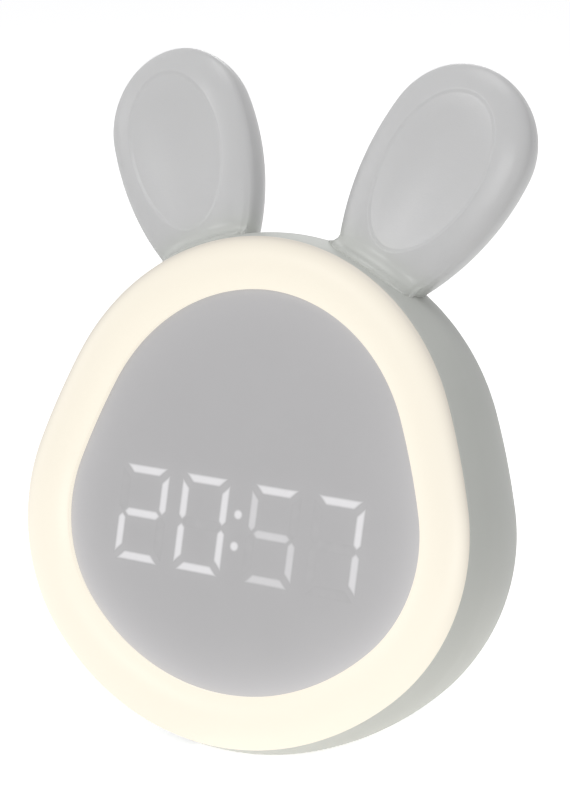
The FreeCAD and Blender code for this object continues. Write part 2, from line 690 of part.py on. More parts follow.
# Glowing ring: one cross section led round the rim
def ringNode():
    body = newBody("light_ring")
    path = faceSketch(body, "ring_path", rimDepth)
    eggLoop(path, 0)
    section = newSketch(body, "ring_section", "YZ_Plane")
    top = float(crownHeight + crownRadius)
    edge = -float(rimForward + ringEdge)
    seat = -float(rimForward)
    lip = -0.05
    inner = float(ringBand)
    lapped = float(ringBand - ringLap)
    outerSkirt = float(wall + fitGap)
    back = float(skirtDepth)
    ceiling = -float(ringCeiling)
    web = float(skirtWall)
    corners = [
        (seat, 0.0), (edge, 0.0), (edge, inner), (lip, inner), (lip, lapped),
        (back, lapped), (back, lapped - web), (ceiling, lapped - web),
        (ceiling, outerSkirt + web), (back, outerSkirt + web), (back, outerSkirt), (seat, outerSkirt),
    ]
    points = [Vector(depth, top - inset, 0) for depth, inset in corners]
    crest = Vector(edge - float(ringRise), top - inner / 2, 0)
    for number, start in enumerate(points):
        end = points[(number + 1) % len(points)]
        if number == 1:
            section.addGeometry(Part.Arc(start, crest, end), False)
        else:
            section.addGeometry(Part.LineSegment(start, end), False)
    pipe = body.newObject("PartDesign::AdditivePipe", "ring_sweep")
    pipe.Profile = section
    pipe.Spine = path
    pipe.Mode = "Frenet"
    return body


lightRing = ringNode()

# Bars of a seven-bar digit, as outlines across the display
def barOutline(kind, centre, grow):
    # Bars a, d and g lie across; b, c, e and f stand. Their ends are cut at 45 degrees.
    half = float(digitWidth) / 2
    rise = float(digitHeight) / 2
    thick = float(barWidth) / 2 + grow
    gap = float(barGap) / 2 - grow
    x, z = centre
    if kind in "adg":
        level = {"a": rise, "d": -rise, "g": 0.0}[kind]
        reach = half - gap
        if kind == "g":
            shape = [(-reach, 0), (-reach + thick, thick), (reach - thick, thick), (reach, 0),
                     (reach - thick, -thick), (-reach + thick, -thick)]
        else:
            sign = 1 if kind == "a" else -1
            shape = [(-reach - thick * 0.4, sign * thick), (reach + thick * 0.4, sign * thick),
                     (reach - thick, -sign * thick), (-reach + thick, -sign * thick)]
        return [(x + px, z + level + pz) for px, pz in shape]
    sign = 1 if kind in "bc" else -1
    up = 1 if kind in "bf" else -1
    low = gap
    high = rise - gap
    shape = [(0, low), (sign * thick, low + thick), (sign * thick, high + thick * 0.4),
             (-sign * thick, high - thick), (-sign * thick, low + thick)]
    return [(x + sign * half + px, z + up * pz) for px, pz in shape]


def prism(outline, front, length):
    points = [Vector(float(px), float(front), float(pz)) for px, pz in outline]
    face = Part.Face(Part.makePolygon(points + points[:1]))
    return face.extrude(Vector(0, float(length), 0))


DIGIT_CENTRES = [
    float(digitShift - pairGap / 2 - digitPitch),
    float(digitShift - pairGap / 2),
    float(digitShift + pairGap / 2),
    float(digitShift + pairGap / 2 + digitPitch),
]
SHOWN = {0: "abged", 1: "abcdef", 2: "afgcd", 3: "abc"}


def barSet(lit, grow, front, length):
    bars = []
    for number, middle in enumerate(DIGIT_CENTRES):
        for kind in "abcdefg":
            if lit is None or (kind in SHOWN[number]) == lit:
                bars.append(prism(barOutline(kind, (middle, 0.0), grow), front, length))
    return bars


def dotSet(grow, front, length):
    dots = []
    for sign in (1, -1):
        spot = Vector(float(digitShift), float(front), sign * float(colonRise))
        dots.append(Part.makeCylinder(float(colonRadius) + grow, float(length), spot, Vector(0, 1, 0)))
    return dots


barLength = float(boardFront) - 0.9
segmentsLit = plain("segments_lit", Part.makeCompound(barSet(True, 0.0, 0.0, barLength)))
segmentsUnlit = plain("segments_unlit", Part.makeCompound(barSet(False, 0.0, 0.0, barLength)))
colonDots = plain("colon_dots", Part.makeCompound(dotSet(0.0, 0.0, barLength)))
slotTools = barSet(None, 0.08, -1.0, boardFront + 2) + dotSet(0.08, -1.0, boardFront + 2)
barSlots = plain("bar_slots", Part.makeCompound(slotTools))
displayWindow = cut("display_window", eggPlate("window_plate", 0, windowThickness, windowInset), barSlots)

# Digit frame, display board and the small lamps behind the bars
frameHalf = pairGap / 2 + digitPitch + digitWidth / 2 + frameMargin
frameRise = digitHeight / 2 + frameMargin
frameBlock = block("frame_block", (digitShift - frameHalf, windowThickness, -frameRise),
                   (frameHalf * 2, boardFront - windowThickness, frameRise * 2))
digitFrame = cut("digit_frame", frameBlock, barSlots)
boardHalf = frameHalf + displayBoardMargin
boardRise = frameRise + displayBoardMargin
displayBoard = gather("display_board", [
    block("display_board_block", (digitShift - boardHalf, boardFront, -boardRise),
          (boardHalf * 2, boardThickness, boardRise * 2)),
])
chipDeep = 0.6
chipFront = float(boardFront) - chipDeep
chips = []
for middle in DIGIT_CENTRES:
    half = float(digitWidth) / 2
    rise = float(digitHeight) / 2
    for px, pz, upright in ((0, rise, False), (0, 0, False), (0, -rise, False), (half, rise / 2, True),
                            (half, -rise / 2, True), (-half, rise / 2, True), (-half, -rise / 2, True)):
        across = 0.8 if upright else 1.6
        high = 1.6 if upright else 0.8
        corner = Vector(middle + px - across / 2, chipFront, pz - high / 2)
        chips.append(Part.makeBox(across, chipDeep, high, corner))
for sign in (1, -1):
    corner = Vector(float(digitShift) - 0.4, chipFront, sign * float(colonRise) - 0.4)
    chips.append(Part.makeBox(0.8, chipDeep, 0.8, corner))
segmentLeds = plain("segment_leds", Part.makeCompound(chips))

# Tray with the light baffle, and the ring's lamp board
trayPlate = eggPlate("tray_plate", trayDepth, trayThickness, wall + 0.3)
trayBaffle = eggPlate("tray_baffle", windowThickness, trayDepth - windowThickness, baffleInset, displayInset)
trayCuts = []
ringBoardCuts = []
for number, spot in enumerate(trayScrewSpots):
    trayCuts.append(rod("tray_hole_%d" % number, screwRadius + screwEase, spot,
                        trayDepth - 1, trayThickness + 2))
    ringBoardCuts.append(rod("ring_board_hole_%d" % number, screwRadius + screwEase, spot,
                             boardFront - 1, boardThickness + 2))
trayCuts.append(block("tray_cable_slot", (-plugWidth / 2 - 0.6, trayDepth - 1, -0.8),
                      (plugWidth + 1.2, trayThickness + 2, plugHeight + 0.6)))
cradleHalf = cellLength / 2 + cradleEnd
cradleReach = cradleHalf + cradleTabReach
cradleScrewOut = float(cradleReach - 3.0)
CRADLE_SCREWS = [(-cradleScrewOut, -float(cellDrop)), (cradleScrewOut, -float(cellDrop))]
for number, spot in enumerate(CRADLE_SCREWS):
    trayCuts.append(rod("cradle_pilot_%d" % number, screwRadius, spot, trayDepth - 1, trayThickness + 2))
lightTray = cut("light_tray", fuse("tray_full", [trayPlate, trayBaffle]), fuse("tray_cuts", trayCuts))
ringBoardPlate = eggPlate("ring_board_plate", boardFront, boardThickness, ringBoardInset, baffleInset - 0.4)
ringLedBoard = cut("ring_led_board", ringBoardPlate, fuse("ring_board_cuts", ringBoardCuts))
lamps = []
lampInset = float(ringBoardInset) + 3.8
for number in range(LED_COUNT):
    turn = eggWalk((number + 0.5) * 2 / LED_COUNT - 1, lampInset)
    spot = eggPoint(turn, lampInset)
    lamp = Part.makeBox(float(ledSide), float(ledThickness), float(ledSide),
                        Vector(-float(ledSide) / 2, 0, -float(ledSide) / 2))
    lampFront = float(boardFront - ledThickness)
    lamp.Placement = Placement(Vector(spot[0], lampFront, spot[1]), Rotation(Vector(0, 1, 0), turn))
    lamps.append(lamp)
ringLeds = plain("ring_leds", Part.makeCompound(lamps))

# Battery cell across the clock in a cradle behind the tray
cellDepth = trayBack + cellRadius + cradleWall
cradleRise = cellRadius + cradleWall


def acrossRod(name, radius, length, start, depth, up):
    bar = doc.addObject("Part::Cylinder", name)
    bar.Placement = Placement(Vector(0, 0, 0), Rotation(Vector(0, 1, 0), 90))
    bind(bar, "Radius", radius)
    bind(bar, "Height", length)
    for axis, value in zip("xyz", (start, depth, up)):
        bind(bar, ".Placement.Base." + axis, value)
    return bar


cell = fuse("battery_cell", [
    acrossRod("cell_can", cellRadius, cellLength, -cellLength / 2, cellDepth, -cellDrop),
    acrossRod("cell_nub", cellRadius / 3, cellNub, cellLength / 2, cellDepth, -cellDrop),
])
cradleBlock = block("cradle_block", (-cradleHalf, trayBack, -cellDrop - cradleRise),
                    (cradleHalf * 2, cellDepth - trayBack, cradleRise * 2))
cradleTabs = block("cradle_tabs", (-cradleReach, trayBack, -cellDrop - cradleTabWidth / 2),
                   (cradleReach * 2, cradleTab, cradleTabWidth))
cradleCuts = [
    acrossRod("cradle_groove", cellRadius + fitGap, cellLength + 2.6, -cellLength / 2 - 0.8,
              cellDepth, -cellDrop),
]
for number, spot in enumerate(CRADLE_SCREWS):
    cradleCuts.append(rod("cradle_hole_%d" % number, screwRadius + screwEase, spot,
                          trayBack - 1, cradleTab + 2))
batteryCradle = cut("battery_cradle", fuse("cradle_full", [cradleBlock, cradleTabs]),
                    fuse("cradle_cuts", cradleCuts))
contactSeat = cellRadius - 2.0
contactFront = cellDepth - contactSeat
contactLow = -cellDrop - contactWidth / 2
minusEnd = -cellLength / 2 - 0.3 - contactThickness
plusEnd = cellLength / 2 + cellNub + 0.2
batteryContacts = gather("battery_contacts", [
    block("contact_minus", (minusEnd, contactFront, contactLow),
          (contactThickness, contactSeat, contactWidth)),
    block("contact_plus", (plusEnd, contactFront, contactLow),
          (contactThickness, contactSeat, contactWidth)),
])
strapOuter = acrossRod("strap_outer", cellRadius + fitGap + strapThickness, strapWidth, -strapWidth / 2,
                       cellDepth, -cellDrop)
strapFeet = block("strap_feet", (-strapWidth / 2, cellDepth, -cellDrop - cradleRise),
                  (strapWidth, 1.0, cradleRise * 2))
strapFront = block("strap_front", (-strapWidth, cellDepth - cradleRise * 2, -cellDrop - cradleRise * 2),
                   (strapWidth * 2, cradleRise * 2, cradleRise * 4))
strapBore = acrossRod("strap_bore", cellRadius + fitGap, strapWidth * 2, -strapWidth, cellDepth, -cellDrop)
batteryStrap = cut("battery_strap", fuse("strap_full", [strapOuter, strapFeet]),
                   fuse("strap_cuts", [strapFront, strapBore]))

# Steel weight on the housing's floor, set towards the front so that the clock stands firmly
ballast = doc.addObject("Part::Box", "ballast_block")
bind(ballast, "Length", ballastWidth)
bind(ballast, "Width", ballastDepth)
bind(ballast, "Height", ballastHeight)
ballast.Placement = Placement(levelPoint(-ballastWidth / 2, ballastBack, wall - baseDrop), LEVEL)
ballastPlate = gather("ballast_plate", [ballast])

# Rear cover with its holes and standoffs
BUTTONS = ["button_mode", "button_down", "button_up", "button_light"]
buttonSpots = [(buttonPitch * (number - 1.5), amount(0)) for number in range(4)]
switchSpot = (-switchOut, -switchDrop)
socketSpot = (switchOut, -switchDrop)
speakerSpot = (amount(0), speakerUp)
BOARD_POSTS = [(postMargin - boardReach, boardTop - postMargin - 1.0),
               (boardReach - postMargin, boardTop - postMargin - 1.0),
               (amount(0), postMargin - boardDrop)]
CLAMP_POSTS = [(-speakerRadius - 3.5, speakerUp), (speakerRadius + 3.5, speakerUp)]
coverParts = [eggPlate("cover_plate", coverFront, coverThickness, coverInset + fitGap)]
coverCuts = []
for number, spot in enumerate(BOARD_POSTS):
    coverParts.append(rod("board_post_%d" % number, postRadius, spot, mainBoardBack, standoffHeight))
    coverCuts.append(rod("board_pilot_%d" % number, screwRadius, spot,
                         mainBoardBack - 1, standoffHeight + 1.5))
clampDepth = coverFront - gasketThickness - speakerRim
clampPost = gasketThickness + speakerRim
for number, spot in enumerate(CLAMP_POSTS):
    coverParts.append(rod("clamp_post_%d" % number, postRadius, spot, clampDepth, clampPost))
    coverCuts.append(rod("clamp_pilot_%d" % number, screwRadius, spot, clampDepth - 1, clampPost + 2.2))
for number, spot in enumerate(buttonSpots):
    coverCuts.append(rod("button_hole_%d" % number, buttonRadius + buttonGap, spot,
                         coverFront - 1, coverThickness + 2))
for number, spot in enumerate(coverScrewSpots):
    coverCuts.append(rod("cover_hole_%d" % number, screwRadius + screwEase, spot,
                         coverFront - 1, coverThickness + 2))
    coverCuts.append(rod("cover_seat_%d" % number, headRadius + screwEase, spot,
                         backDepth - headHeight, headHeight + 1))
slotHalf = (switchTravel + knobLength) / 2 + 0.3
slotRise = knobWidth / 2 + 0.3
coverCuts.append(block("switch_slot", (switchSpot[0] - slotHalf, coverFront - 1, switchSpot[1] - slotRise),
                       (slotHalf * 2, coverThickness + 2, slotRise * 2)))
socketHalf = socketWidth / 2 + socketGap
socketRise = socketHeight / 2 + socketGap
coverCuts.append(block("socket_slot",
                       (socketSpot[0] - socketHalf, coverFront - 1, socketSpot[1] - socketRise),
                       (socketHalf * 2, coverThickness + 2, socketRise * 2)))
for ring, count in ((0, 1), (1, 6), (2, 12)):
    for number in range(count):
        turn = 360.0 * number / count
        spot = (speakerSpot[0] + grillePitch * (ring * sine(turn)),
                speakerSpot[1] + grillePitch * (ring * cosine(turn)))
        coverCuts.append(rod("grille_%d_%d" % (ring, number), grilleHole, spot,
                             coverFront - 1, coverThickness + 2))
rearCover = cut("rear_cover", fuse("cover_full", coverParts), fuse("cover_cuts", coverCuts))

# Push buttons: cap, flange and stem turned about their own axis
def buttonNode(name, spot):
    body = newBody(name)
    sketch = newSketch(body, name + "_profile", "XY_Plane")
    shelf = float(coverFront) - 0.1
    flange = shelf - float(guideThickness)
    stem = float(mainBoardBack + tactHeight + tactPlunger + buttonTravel) + 0.3
    top = float(backDepth + buttonProud)
    cap = float(buttonRadius)
    soft = 0.6
    edge = float(buttonFlange)
    points = [(0, stem), (1.6, stem), (1.6, flange), (edge, flange), (edge, shelf),
              (cap, shelf), (cap, top - soft), (cap - soft, top), (0, top)]
    for number in range(len(points)):
        start = Vector(points[number][0], points[number][1], 0)
        nextPoint = points[(number + 1) % len(points)]
        end = Vector(nextPoint[0], nextPoint[1], 0)
        sketch.addGeometry(Part.LineSegment(start, end), False)
    turned = body.newObject("PartDesign::Revolution", name + "_turned")
    turned.Profile = sketch
    turned.ReferenceAxis = (sketch, ["V_Axis"])
    turned.Angle = 360
    body.Placement = Placement(Vector(float(spot[0]), 0, float(spot[1])), Rotation())
    return body


buttonNodes = [buttonNode(name, spot) for name, spot in zip(BUTTONS, buttonSpots)]

# Slide switch that arms the alarm: knob, and its case on the board
knobRest = switchSpot[0] - switchTravel / 2
guideDepth = coverFront - 0.3 - guideThickness
knob = fuse("alarm_switch_knob", [
    block("knob_post", (knobRest - knobLength / 2, guideDepth - 0.3, switchSpot[1] - knobWidth / 2),
          (knobLength, backDepth + knobProud - guideDepth + 0.3, knobWidth)),
    block("knob_guide", (knobRest - guideLength / 2, guideDepth, switchSpot[1] - guideWidth / 2),
          (guideLength, guideThickness, guideWidth)),
])
switchCase = gather("slide_switch_case", [
    block("switch_box", (switchSpot[0] - switchLength / 2, mainBoardBack, switchSpot[1] - switchWidth / 2),
          (switchLength, guideDepth - 0.6 - mainBoardBack, switchWidth)),
])

# Main board and what it carries
boardOutline = [
    (-boardReach, boardTop), (boardReach, boardTop), (boardReach, boardCorner - boardDrop),
    (boardReach - boardCorner, -boardDrop), (boardCorner - boardReach, -boardDrop),
    (-boardReach, boardCorner - boardDrop),
]
mainBoardPlate = plain("main_board_plate", prism(boardOutline, mainBoardFront, boardThickness))
mainBoardCuts = [rod("main_board_hole_%d" % number, screwRadius + screwEase, spot,
                     mainBoardFront - 1, boardThickness + 2)
                 for number, spot in enumerate(BOARD_POSTS)]
mainBoard = cut("main_board", mainBoardPlate, fuse("main_board_cuts", mainBoardCuts))
tacts = []
for number, spot in enumerate(buttonSpots):
    case = block("tact_case_%d" % number, (spot[0] - tactSide / 2, mainBoardBack, spot[1] - tactSide / 2),
                 (tactSide, tactHeight, tactSide))
    plunger = rod("tact_plunger_%d" % number, 1.0, spot, mainBoardBack + tactHeight, tactPlunger)
    tacts.append(fuse("tact_%d" % number, [case, plunger]))
tactSwitches = gather("tact_switches", tacts)
socketMouthDepth = backDepth - 0.3
socketReach = socketMouthDepth - mainBoardBack
socketLow = (socketSpot[0] - socketWidth / 2, socketSpot[1] - socketHeight / 2)
socketShell = block("socket_shell", (socketLow[0], mainBoardBack, socketLow[1]),
                    (socketWidth, socketReach, socketHeight))
socketMouth = block("socket_mouth",
                    (socketLow[0] + socketWall, mainBoardBack + 1.2, socketLow[1] + socketWall),
                    (socketWidth - socketWall * 2, socketReach, socketHeight - socketWall * 2))
socketTongue = block("socket_tongue", (socketSpot[0] - 3.3, mainBoardBack + 1.0, socketSpot[1] - 0.35),
                     (6.6, socketReach - 1.8, 0.7))
usbSocket = fuse("charging_socket", [cut("socket_can", socketShell, socketMouth), socketTongue])
clockChip = gather("clock_chip", [
    block("chip_block", (-boardReach + 8, mainBoardFront - chipThickness, -chipSide + 1.5),
          (chipSide, chipThickness, chipSide)),
])
coinSpot = (boardReach - 11, boardTop - 6.5)
clipHalf = coinRadius + 1
backupClip = gather("backup_cell_clip", [
    block("clip_block", (coinSpot[0] - clipHalf, mainBoardFront - clipThickness, coinSpot[1] - clipHalf),
          (clipHalf * 2, clipThickness, clipHalf * 2)),
])
backupCell = gather("backup_cell", [
    rod("coin", coinRadius, coinSpot, mainBoardFront - clipThickness - coinThickness, coinThickness),
])
mainPlug = block("main_plug", (-plugWidth / 2, mainBoardFront - plugThickness, -0.5),
                 (plugWidth, plugThickness, plugHeight))
displayPlug = block("display_plug", (-plugWidth / 2, trayDepth, -0.5), (plugWidth, plugThickness, plugHeight))
flexConnectors = gather("flex_connectors", [mainPlug, displayPlug])
flexCable = gather("flex_cable", [
    block("flex_strip", (1 - plugWidth / 2, trayDepth + plugThickness, plugHeight / 2 - 0.65),
          (plugWidth - 2, mainBoardFront - plugThickness * 2 - trayDepth, filmThickness)),
])

# Speaker against the cover, held by a clamp
speakerGasket = cut("speaker_gasket",
                    rod("gasket_disc", speakerRadius, speakerSpot, coverFront - gasketThickness,
                        gasketThickness),
                    rod("gasket_bore", speakerRadius - 2.5, speakerSpot, coverFront - 2, 3))
speakerDriver = fuse("speaker_driver", [
    rod("speaker_rim", speakerRadius, speakerSpot, clampDepth, speakerRim),
    rod("speaker_basket", speakerRadius - 3.0, speakerSpot, clampDepth - basketDepth, basketDepth),
    rod("speaker_magnet", speakerRadius / 2, speakerSpot, clampDepth - basketDepth - magnetDepth,
        magnetDepth),
])
clampPlate = block("clamp_plate", (-speakerRadius - 6, clampDepth - speakerRim, speakerUp - 3.5),
                   ((speakerRadius + 6) * 2, speakerRim, 7))
clampRing = rod("clamp_ring", speakerRadius + 0.5, speakerSpot, clampDepth - speakerRim, speakerRim)
clampCuts = [rod("clamp_bore", speakerRadius - 2.7, speakerSpot, clampDepth - 3, 5)]
for number, spot in enumerate(CLAMP_POSTS):
    clampCuts.append(rod("clamp_hole_%d" % number, screwRadius + screwEase, spot, clampDepth - 3, 5))
speakerClamp = cut("speaker_clamp", fuse("clamp_full", [clampPlate, clampRing]),
                   fuse("clamp_cuts", clampCuts))

# Screws and washers
coverScrews = screwSet("cover_screws", [facing(spot, backDepth - headHeight) for spot in coverScrewSpots],
                       screwRadius - 0.02, coverThickness - headHeight + screwGrip, headRadius, headHeight)
trayScrews = screwSet("tray_screws", [facing(spot, boardFront, False) for spot in trayScrewSpots],
                      screwRadius - 0.02, boardThickness + trayThickness + screwGrip, headRadius, headHeight)
boardScrews = screwSet("board_screws", [facing(spot, mainBoardFront, False) for spot in BOARD_POSTS]
                       + [facing(spot, clampDepth - speakerRim, False) for spot in CLAMP_POSTS],
                       screwRadius - 0.02, boardThickness + standoffHeight - 2.0, headRadius, headHeight)
cradleScrews = screwSet("cradle_screws", [facing(spot, trayBack + cradleTab) for spot in CRADLE_SCREWS],
                        screwRadius - 0.02, trayThickness + cradleTab, headRadius, headHeight)
washers = []
earScrewSpots = []
for side in ("left", "right"):
    placement = spigotPlacement(side)
    seat = float(spigotFoot - bossFloor - washerThickness)
    washer = Part.makeCylinder(float(spigotRadius + washerLap), float(washerThickness), Vector(0, 0, seat))
    washer = washer.cut(Part.makeCylinder(float(earScrewRadius + screwEase), 3.0, Vector(0, 0, seat - 1)))
    washer.Placement = placement
    washers.append(washer)
    spot = placement.multiply(Placement(Vector(0, 0, seat), Rotation(Vector(1, 0, 0), 180)))
    earScrewSpots.append(spot)
earWashers = plain("ear_washers", Part.makeCompound(washers))
earScrews = screwSet("ear_screws", earScrewSpots, earScrewRadius, earScrewLength,
                     headRadius + 0.9, headHeight + 0.8)

# Every named piece, its check and its file
NODES = [
    mainShell, rearCover, leftEar, rightEar, lightRing, displayWindow, lightTray, ringLedBoard, ringLeds,
    displayBoard, digitFrame, segmentsLit, segmentsUnlit, colonDots, segmentLeds, mainBoard, clockChip,
    backupClip, backupCell, flexConnectors, flexCable, tactSwitches, switchCase, usbSocket, cell,
    batteryCradle, batteryContacts, batteryStrap, speakerDriver, speakerGasket, speakerClamp, ballastPlate,
    footPadsNode, coverScrews, trayScrews, boardScrews, cradleScrews, earWashers, earScrews, knob,
] + buttonNodes

doc.recompute()
for thing in doc.Objects:
    if "Invalid" in thing.State or "Error" in thing.State:
        raise RuntimeError("%s failed: %s" % (thing.Name, thing.State))

# Stand placement: the face leans back, the middle of the footprint is the origin
lean = Placement(Vector(0, 0, 0), Rotation(Vector(1, 0, 0), -float(leanBack)))
points = [lean.multVec(point) for node in NODES for point in node.Shape.tessellate(0.05)[0]]
low = [min(point[axis] for point in points) for axis in range(3)]
high = [max(point[axis] for point in points) for axis in range(3)]
shift = Vector(0, -(low[1] + high[1]) / 2, float(baseDrop + footProud))
stand = Placement(shift, Rotation()).multiply(lean)
for node in NODES:
    node.Placement = stand.multiply(node.Placement)
doc.recompute()
print("overall size %.1f x %.1f x %.1f mm" % tuple(high[axis] - low[axis] for axis in range(3)))
print("display centre stands at Y %.3f, Z %.3f" % (shift.y, shift.z))

os.makedirs("parts", exist_ok=True)
for node in NODES:
    shape = node.Shape
    if shape.isNull() or not shape.isValid() or not shape.Solids:
        raise RuntimeError("%s has no sound solid" % node.Label)
    shape.exportStep("parts/%s.step" % node.Label)
    print("%-20s %2d solid(s) %10.1f mm3" % (node.Label, len(shape.Solids), shape.Volume))
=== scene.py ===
import math

import bmesh
import bpy
import numpy as np
from mathutils import Matrix, Vector


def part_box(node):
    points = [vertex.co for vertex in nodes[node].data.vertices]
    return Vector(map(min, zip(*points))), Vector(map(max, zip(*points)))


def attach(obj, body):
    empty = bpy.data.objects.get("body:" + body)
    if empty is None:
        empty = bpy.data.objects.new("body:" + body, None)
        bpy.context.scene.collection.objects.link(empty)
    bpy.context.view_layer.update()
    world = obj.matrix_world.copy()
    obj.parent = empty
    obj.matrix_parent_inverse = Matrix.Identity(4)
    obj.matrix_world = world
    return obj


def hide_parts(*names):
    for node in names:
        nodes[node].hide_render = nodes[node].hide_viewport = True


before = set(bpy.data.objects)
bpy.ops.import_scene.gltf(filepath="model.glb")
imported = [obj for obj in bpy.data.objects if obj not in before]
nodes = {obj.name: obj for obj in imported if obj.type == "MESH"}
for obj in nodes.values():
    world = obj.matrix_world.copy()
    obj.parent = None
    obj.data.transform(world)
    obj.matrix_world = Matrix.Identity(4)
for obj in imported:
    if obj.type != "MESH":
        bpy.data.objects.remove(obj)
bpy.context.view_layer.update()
scene = bpy.context.scene

# The face frame: x to the viewer's right, back along the display's normal, up along the display.
# Sizes in it are in millimetres, and toWorld turns them into the frame's metres.
leanBack = math.radians(13.9)
colonPlace = {"across": -0.6, "back": 3.25}  # middle of the colon's two pipes


def leanedVector(across, back, up):
    # face frame to level frame: a turn about x by the lean
    across, back, up = np.broadcast_arrays(across, back, up)
    return np.stack([across, back * math.cos(leanBack) + up * math.sin(leanBack),
                     up * math.cos(leanBack) - back * math.sin(leanBack)], -1)


colonBox = [np.array(corner) * 1000 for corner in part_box("colon_dots")]
displayCentre = sum(colonBox) / 2 - leanedVector(colonPlace["across"], colonPlace["back"], 0.0)


def toWorld(across, back, up):
    return (leanedVector(across, back, up) + displayCentre) / 1000


# Egg outline: four tangent arcs from the top down, the same on both sides
egg = {"crownRadius": 57.2, "crownUp": 13.7, "flankRadius": 178.0, "hipRadius": 47.0,
       "hipOut": 15.4, "hipUp": 1.3, "soleRadius": 68.6}


def eggChain():
    # arc centres, radii and joins: the flank's circle touches both its neighbours, and the sole's centre is
    # on the middle line
    crown = np.array([0.0, egg["crownUp"]])
    hip = np.array([egg["hipOut"], egg["hipUp"]])
    toCrown = egg["flankRadius"] - egg["crownRadius"]
    toHip = egg["flankRadius"] - egg["hipRadius"]
    span = np.linalg.norm(hip - crown)
    along = (toCrown ** 2 - toHip ** 2 + span ** 2) / (2 * span)
    aside = math.sqrt(toCrown ** 2 - along ** 2)
    unit = (hip - crown) / span
    flank = crown + along * unit + aside * np.array([unit[1], -unit[0]])
    sole = np.array([0.0, hip[1] + math.sqrt((egg["soleRadius"] - egg["hipRadius"]) ** 2 - hip[0] ** 2)])
    joins = [math.atan2(*(crown - flank)), math.atan2(*(hip - flank)), math.atan2(*(hip - sole))]
    centres = np.array([crown, flank, hip, sole])
    radii = np.array([egg["crownRadius"], egg["flankRadius"], egg["hipRadius"], egg["soleRadius"]])
    return centres, radii, np.array([0.0] + joins + [math.pi])


eggCentres, eggRadii, eggJoins = eggChain()


def eggTurns(count):
    # turns of the outline's normal at even steps of its length, once round from the bottom
    halfLengths = np.concatenate([[0.0], np.cumsum(np.diff(eggJoins) * eggRadii)])
    share = (np.arange(count) / count * 2 - 1) * halfLengths[-1]
    return np.sign(share) * np.interp(np.abs(share), halfLengths, eggJoins)


def eggOutline(turns, inset):
    # outline drawn in by inset: centre of the arc plus its shortened radius along the normal at each turn
    arc = np.clip(np.searchsorted(eggJoins, np.abs(turns), side="right") - 1, 0, 3)
    side = np.where(turns < 0, -1.0, 1.0)
    reach = eggRadii[arc] - inset
    return side * eggCentres[arc, 0] + reach * np.sin(turns), eggCentres[arc, 1] + reach * np.cos(turns)


def eggDistance(across, up):
    # how far a point lies outside the outline, found in the sector of its own arc
    distance = np.full(np.shape(across), -1e3)
    for arc in range(4):
        fromCentre = np.abs(across) - eggCentres[arc, 0], up - eggCentres[arc, 1]
        turn = np.arctan2(fromCentre[0], fromCentre[1])
        inside = (turn >= eggJoins[arc] - 1e-6) & (turn <= eggJoins[arc + 1] + 1e-6)
        distance = np.where(inside, np.hypot(*fromCentre) - eggRadii[arc], distance)
    return distance


# Skin of the housing: how far it is drawn in from the outline at each depth
housing = {"rimDepth": -1.0, "girthDepth": 8.0, "girthBulge": 1.79, "backLength": 41.0, "backInset": 30.0,
           "wall": 2.2, "baseDrop": 53.0, "coverInset": 29.5, "coverThickness": 2.0, "ledgeWidth": 4.5}
rearDepth = housing["girthDepth"] + housing["backLength"]


def skinInset(depth):
    front = (depth - housing["rimDepth"]) / (housing["girthDepth"] - housing["rimDepth"])
    rear = np.clip((depth - housing["girthDepth"]) / housing["backLength"], 0, 1)
    frontInset = -housing["girthBulge"] * np.sin(np.clip(front, 0, 1) * math.pi / 2)
    rearInset = -housing["girthBulge"] + housing["backInset"] * (1 - np.sqrt(1 - rear ** 2))
    return np.where(depth < housing["girthDepth"], frontInset, rearInset)


# Mesh helpers
def meshPiece(name, points, faces, smooth=True):
    # a piece from points in metres and faces, its own origin left at the frame's
    mesh = bpy.data.meshes.new(name)
    mesh.from_pydata(np.asarray(points).reshape(-1, 3).tolist(), [], faces)
    mesh.validate()
    piece = bpy.data.objects.new(name, mesh)
    scene.collection.objects.link(piece)
    mesh.polygons.foreach_set("use_smooth", np.full(len(mesh.polygons), smooth))
    mesh.update()
    return piece


def gridFaces(rows, columns, start=0, closed=False):
    # quads between neighbouring loops; closed joins the last loop to the first
    row, column = np.meshgrid(np.arange(rows if closed else rows - 1), np.arange(columns), indexing="ij")
    ahead, after = (row + 1) % rows, (column + 1) % columns
    quads = np.stack([row * columns + column, row * columns + after,
                      ahead * columns + after, ahead * columns + column], -1)
    return (quads.reshape(-1, 4) + start).tolist()


def cappedFaces(rows, columns, start=0):
    # open loops with a face over the first one and a face over the last
    first = (start + np.arange(columns)[::-1]).tolist()
    last = (start + (rows - 1) * columns + np.arange(columns)).tolist()
    return gridFaces(rows, columns, start) + [first, last]


def paint(piece, name, values):
    # one number for each point, read by the piece's material
    layer = piece.data.attributes.new(name, "FLOAT", "POINT")
    layer.data.foreach_set("value", np.asarray(values, np.float32).ravel())


def orient(piece):
    # faces turned to point outwards
    work = bmesh.new()
    work.from_mesh(piece.data)
    bmesh.ops.recalc_face_normals(work, faces=work.faces)
    work.to_mesh(piece.data)
    work.free()


def revolve(name, profile, centre, turnsCount=64, axis="back", hollow=False):
    # a profile of (radius, along) points led round an axis of the face frame or of the level world
    angle = np.linspace(0, 2 * math.pi, turnsCount, endpoint=False)
    radius, along = (np.array(column)[:, None] for column in zip(*profile))
    first = centre[0] + radius * np.cos(angle)
    second = radius * np.sin(angle)
    if axis == "back":
        points = toWorld(first, along, centre[1] + second)
    else:
        place = np.stack(np.broadcast_arrays(first, centre[1] + second, along), -1)
        points = (place + displayCentre) / 1000
    size = len(profile), turnsCount
    piece = meshPiece(name, points, gridFaces(*size, closed=True) if hollow else cappedFaces(*size))
    orient(piece)
    return piece


